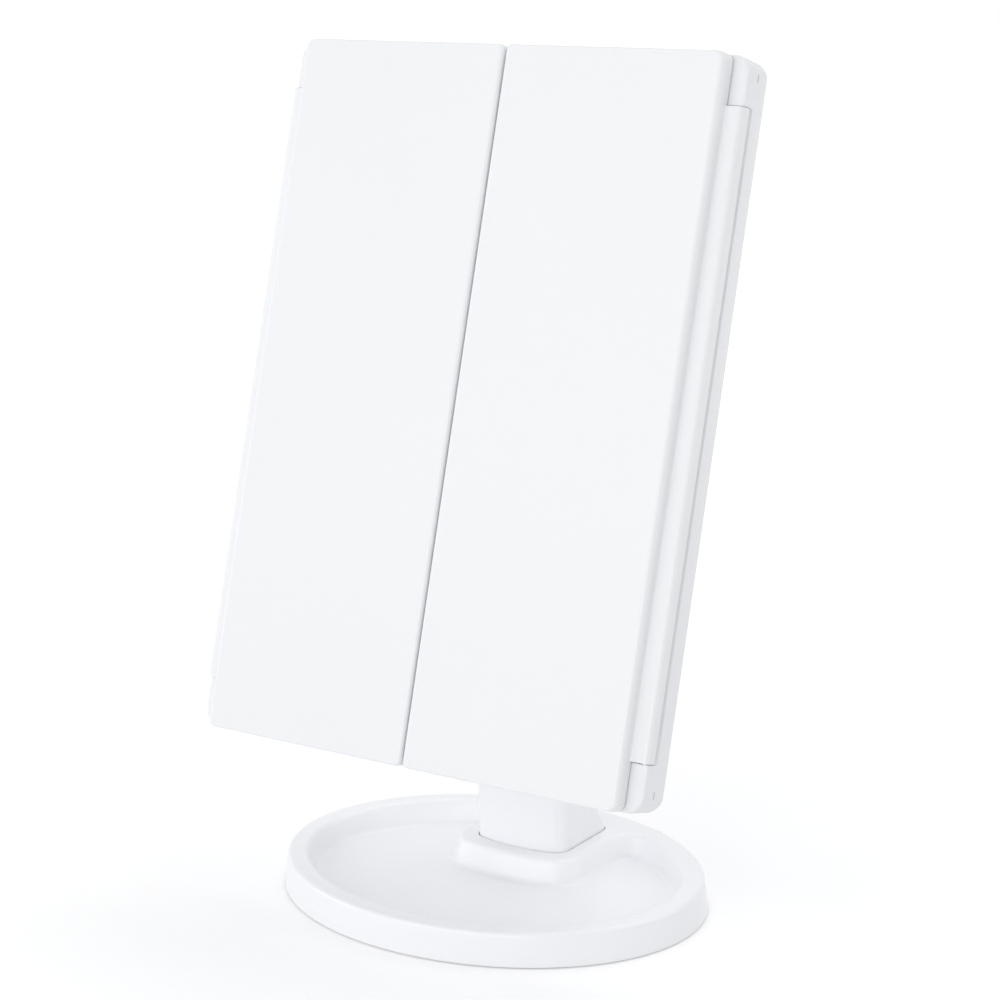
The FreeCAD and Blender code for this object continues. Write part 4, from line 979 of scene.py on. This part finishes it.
def seenDirectly(wire):
    # 1 for what the camera, a mirror or clear glass sees, 0 for light that falls on things
    path = ["Is Camera Ray", "Is Glossy Ray", "Is Transmission Ray"]
    seen = [wire.node("ShaderNodeLightPath", None, None, ray) for ray in path]
    return wire.node("ShaderNodeMath", {"operation": "MAXIMUM"},
                     {0: seen[0], 1: wire.sum("MAXIMUM", seen[1], seen[2])})


def makeFloor():
    look, half = stageLook, stageLook["floorHalf"]
    mesh = plainMesh("floor", [(-half, -half, 0), (half, -half, 0), (half, half, 0),
                               (-half, half, 0)], [[0, 1, 2, 3]])
    floor = bpy.data.objects.new("floor", mesh)
    bpy.context.scene.collection.objects.link(floor)
    material, wire = startFinish("floorPaper")
    paper = noise(wire, objectPlace(wire), look["grain"])
    colour = look["floorColour"]
    tone = blend(wire, paper, darker(colour, look["grainDark"]), colour)
    matt = wire.node("ShaderNodeBsdfDiffuse", None, {"Color": tone})
    # past the lamps' reach the paper fades to plain white
    away = wire.node("ShaderNodeVectorMath", {"operation": "LENGTH"},
                     {0: objectPlace(wire)}, "Value")
    fade = wire.node("ShaderNodeMapRange", None, {
        "Value": away, "From Min": look["farFrom"], "From Max": look["farTo"],
        "To Min": look["floorGlow"], "To Max": look["farGlow"]})
    glow = wire.node("ShaderNodeEmission", None, {"Color": look["white"], "Strength": fade})
    lifted = wire.node("ShaderNodeAddShader", None, {0: matt, 1: glow})
    shown = wire.node("ShaderNodeMixShader", None, {0: seenDirectly(wire), 1: matt, 2: lifted})
    wire.node("ShaderNodeOutputMaterial", None, {"Surface": shown})
    mesh.materials.append(material)


def makeRoom():
    look = stageLook
    world = bpy.data.worlds.new("softRoom")
    world.use_nodes = True
    world.node_tree.nodes.clear()
    bpy.context.scene.world = world
    wire = Wire(world.node_tree)
    room = wire.node("ShaderNodeBackground", None,
                     {"Color": look["roomColour"], "Strength": look["roomLight"]})
    white = wire.node("ShaderNodeBackground", None, {"Color": look["white"], "Strength": 1.0})
    shown = wire.node("ShaderNodeMixShader", None, {0: seenDirectly(wire), 1: room, 2: white})
    wire.node("ShaderNodeOutputWorld", None, {"Surface": shown})


lampsAim = (0.0, 0.0, 0.14)
softboxes = {
    # name: place, size across and up, power; metres and watts
    "keySoftbox": ((-0.7, -2.1, 1.0), 1.6, 1.2, 7.0),
    "frontSoftbox": ((0.55, -2.3, 0.4), 1.2, 0.8, 10.0),
    "leftSoftbox": ((-1.9, -0.9, 0.5), 1.0, 1.0, 5.0),
    "rightSoftbox": ((1.7, 1.2, 1.2), 1.4, 1.2, 5.5),
    "highSoftbox": ((0.0, 1.0, 2.3), 2.4, 1.6, 12.0),
}


def makeLamps():
    for name, (place, wide, tall, power) in softboxes.items():
        lamp = bpy.data.lights.new(name, "AREA")
        lamp.shape = "RECTANGLE"
        lamp.size, lamp.size_y = wide, tall
        lamp.energy = power
        thing = bpy.data.objects.new(name, lamp)
        bpy.context.scene.collection.objects.link(thing)
        thing.location = place
        way = Vector(lampsAim) - Vector(place)
        thing.rotation_euler = way.to_track_quat("-Z", "Y").to_euler()


# degrees and metres, with the lens and its sensor in mm
cameraView = {"azimuth": 34.419, "pitch": 13.958, "roll": -1.207, "distance": 0.873955,
              "across": 0.006476, "up": 0.139745, "lens": 94.231, "sensor": 36.0,
              "shiftX": -0.003761, "shiftY": -0.001221, "near": 0.01, "far": 50.0}


def makeCamera():
    look = cameraView
    azimuth, pitch, roll = [math.radians(look[turn]) for turn in ("azimuth", "pitch", "roll")]
    back = Vector((math.sin(azimuth) * math.cos(pitch), -math.cos(azimuth) * math.cos(pitch),
                   math.sin(pitch)))
    right = Vector((math.cos(azimuth), math.sin(azimuth), 0))
    up = back.cross(right)
    aim = right * look["across"] + Vector((0, 0, look["up"]))
    turnedRight = right * math.cos(roll) + up * math.sin(roll)
    turnedUp = up * math.cos(roll) - right * math.sin(roll)
    camera = bpy.data.cameras.new("studioCamera")
    camera.sensor_width = look["sensor"]
    camera.lens = look["lens"]
    camera.shift_x, camera.shift_y = look["shiftX"], look["shiftY"]
    camera.clip_start, camera.clip_end = look["near"], look["far"]
    thing = bpy.data.objects.new("studioCamera", camera)
    bpy.context.scene.collection.objects.link(thing)
    axes = Matrix((turnedRight, turnedUp, back)).transposed().to_4x4()
    thing.matrix_world = Matrix.Translation(aim + back * look["distance"]) @ axes
    bpy.context.scene.camera = thing


makeFloor()
makeRoom()
makeLamps()
makeCamera()
bpy.context.scene.view_settings.view_transform = "Standard"
print("stage, lamps and camera set")
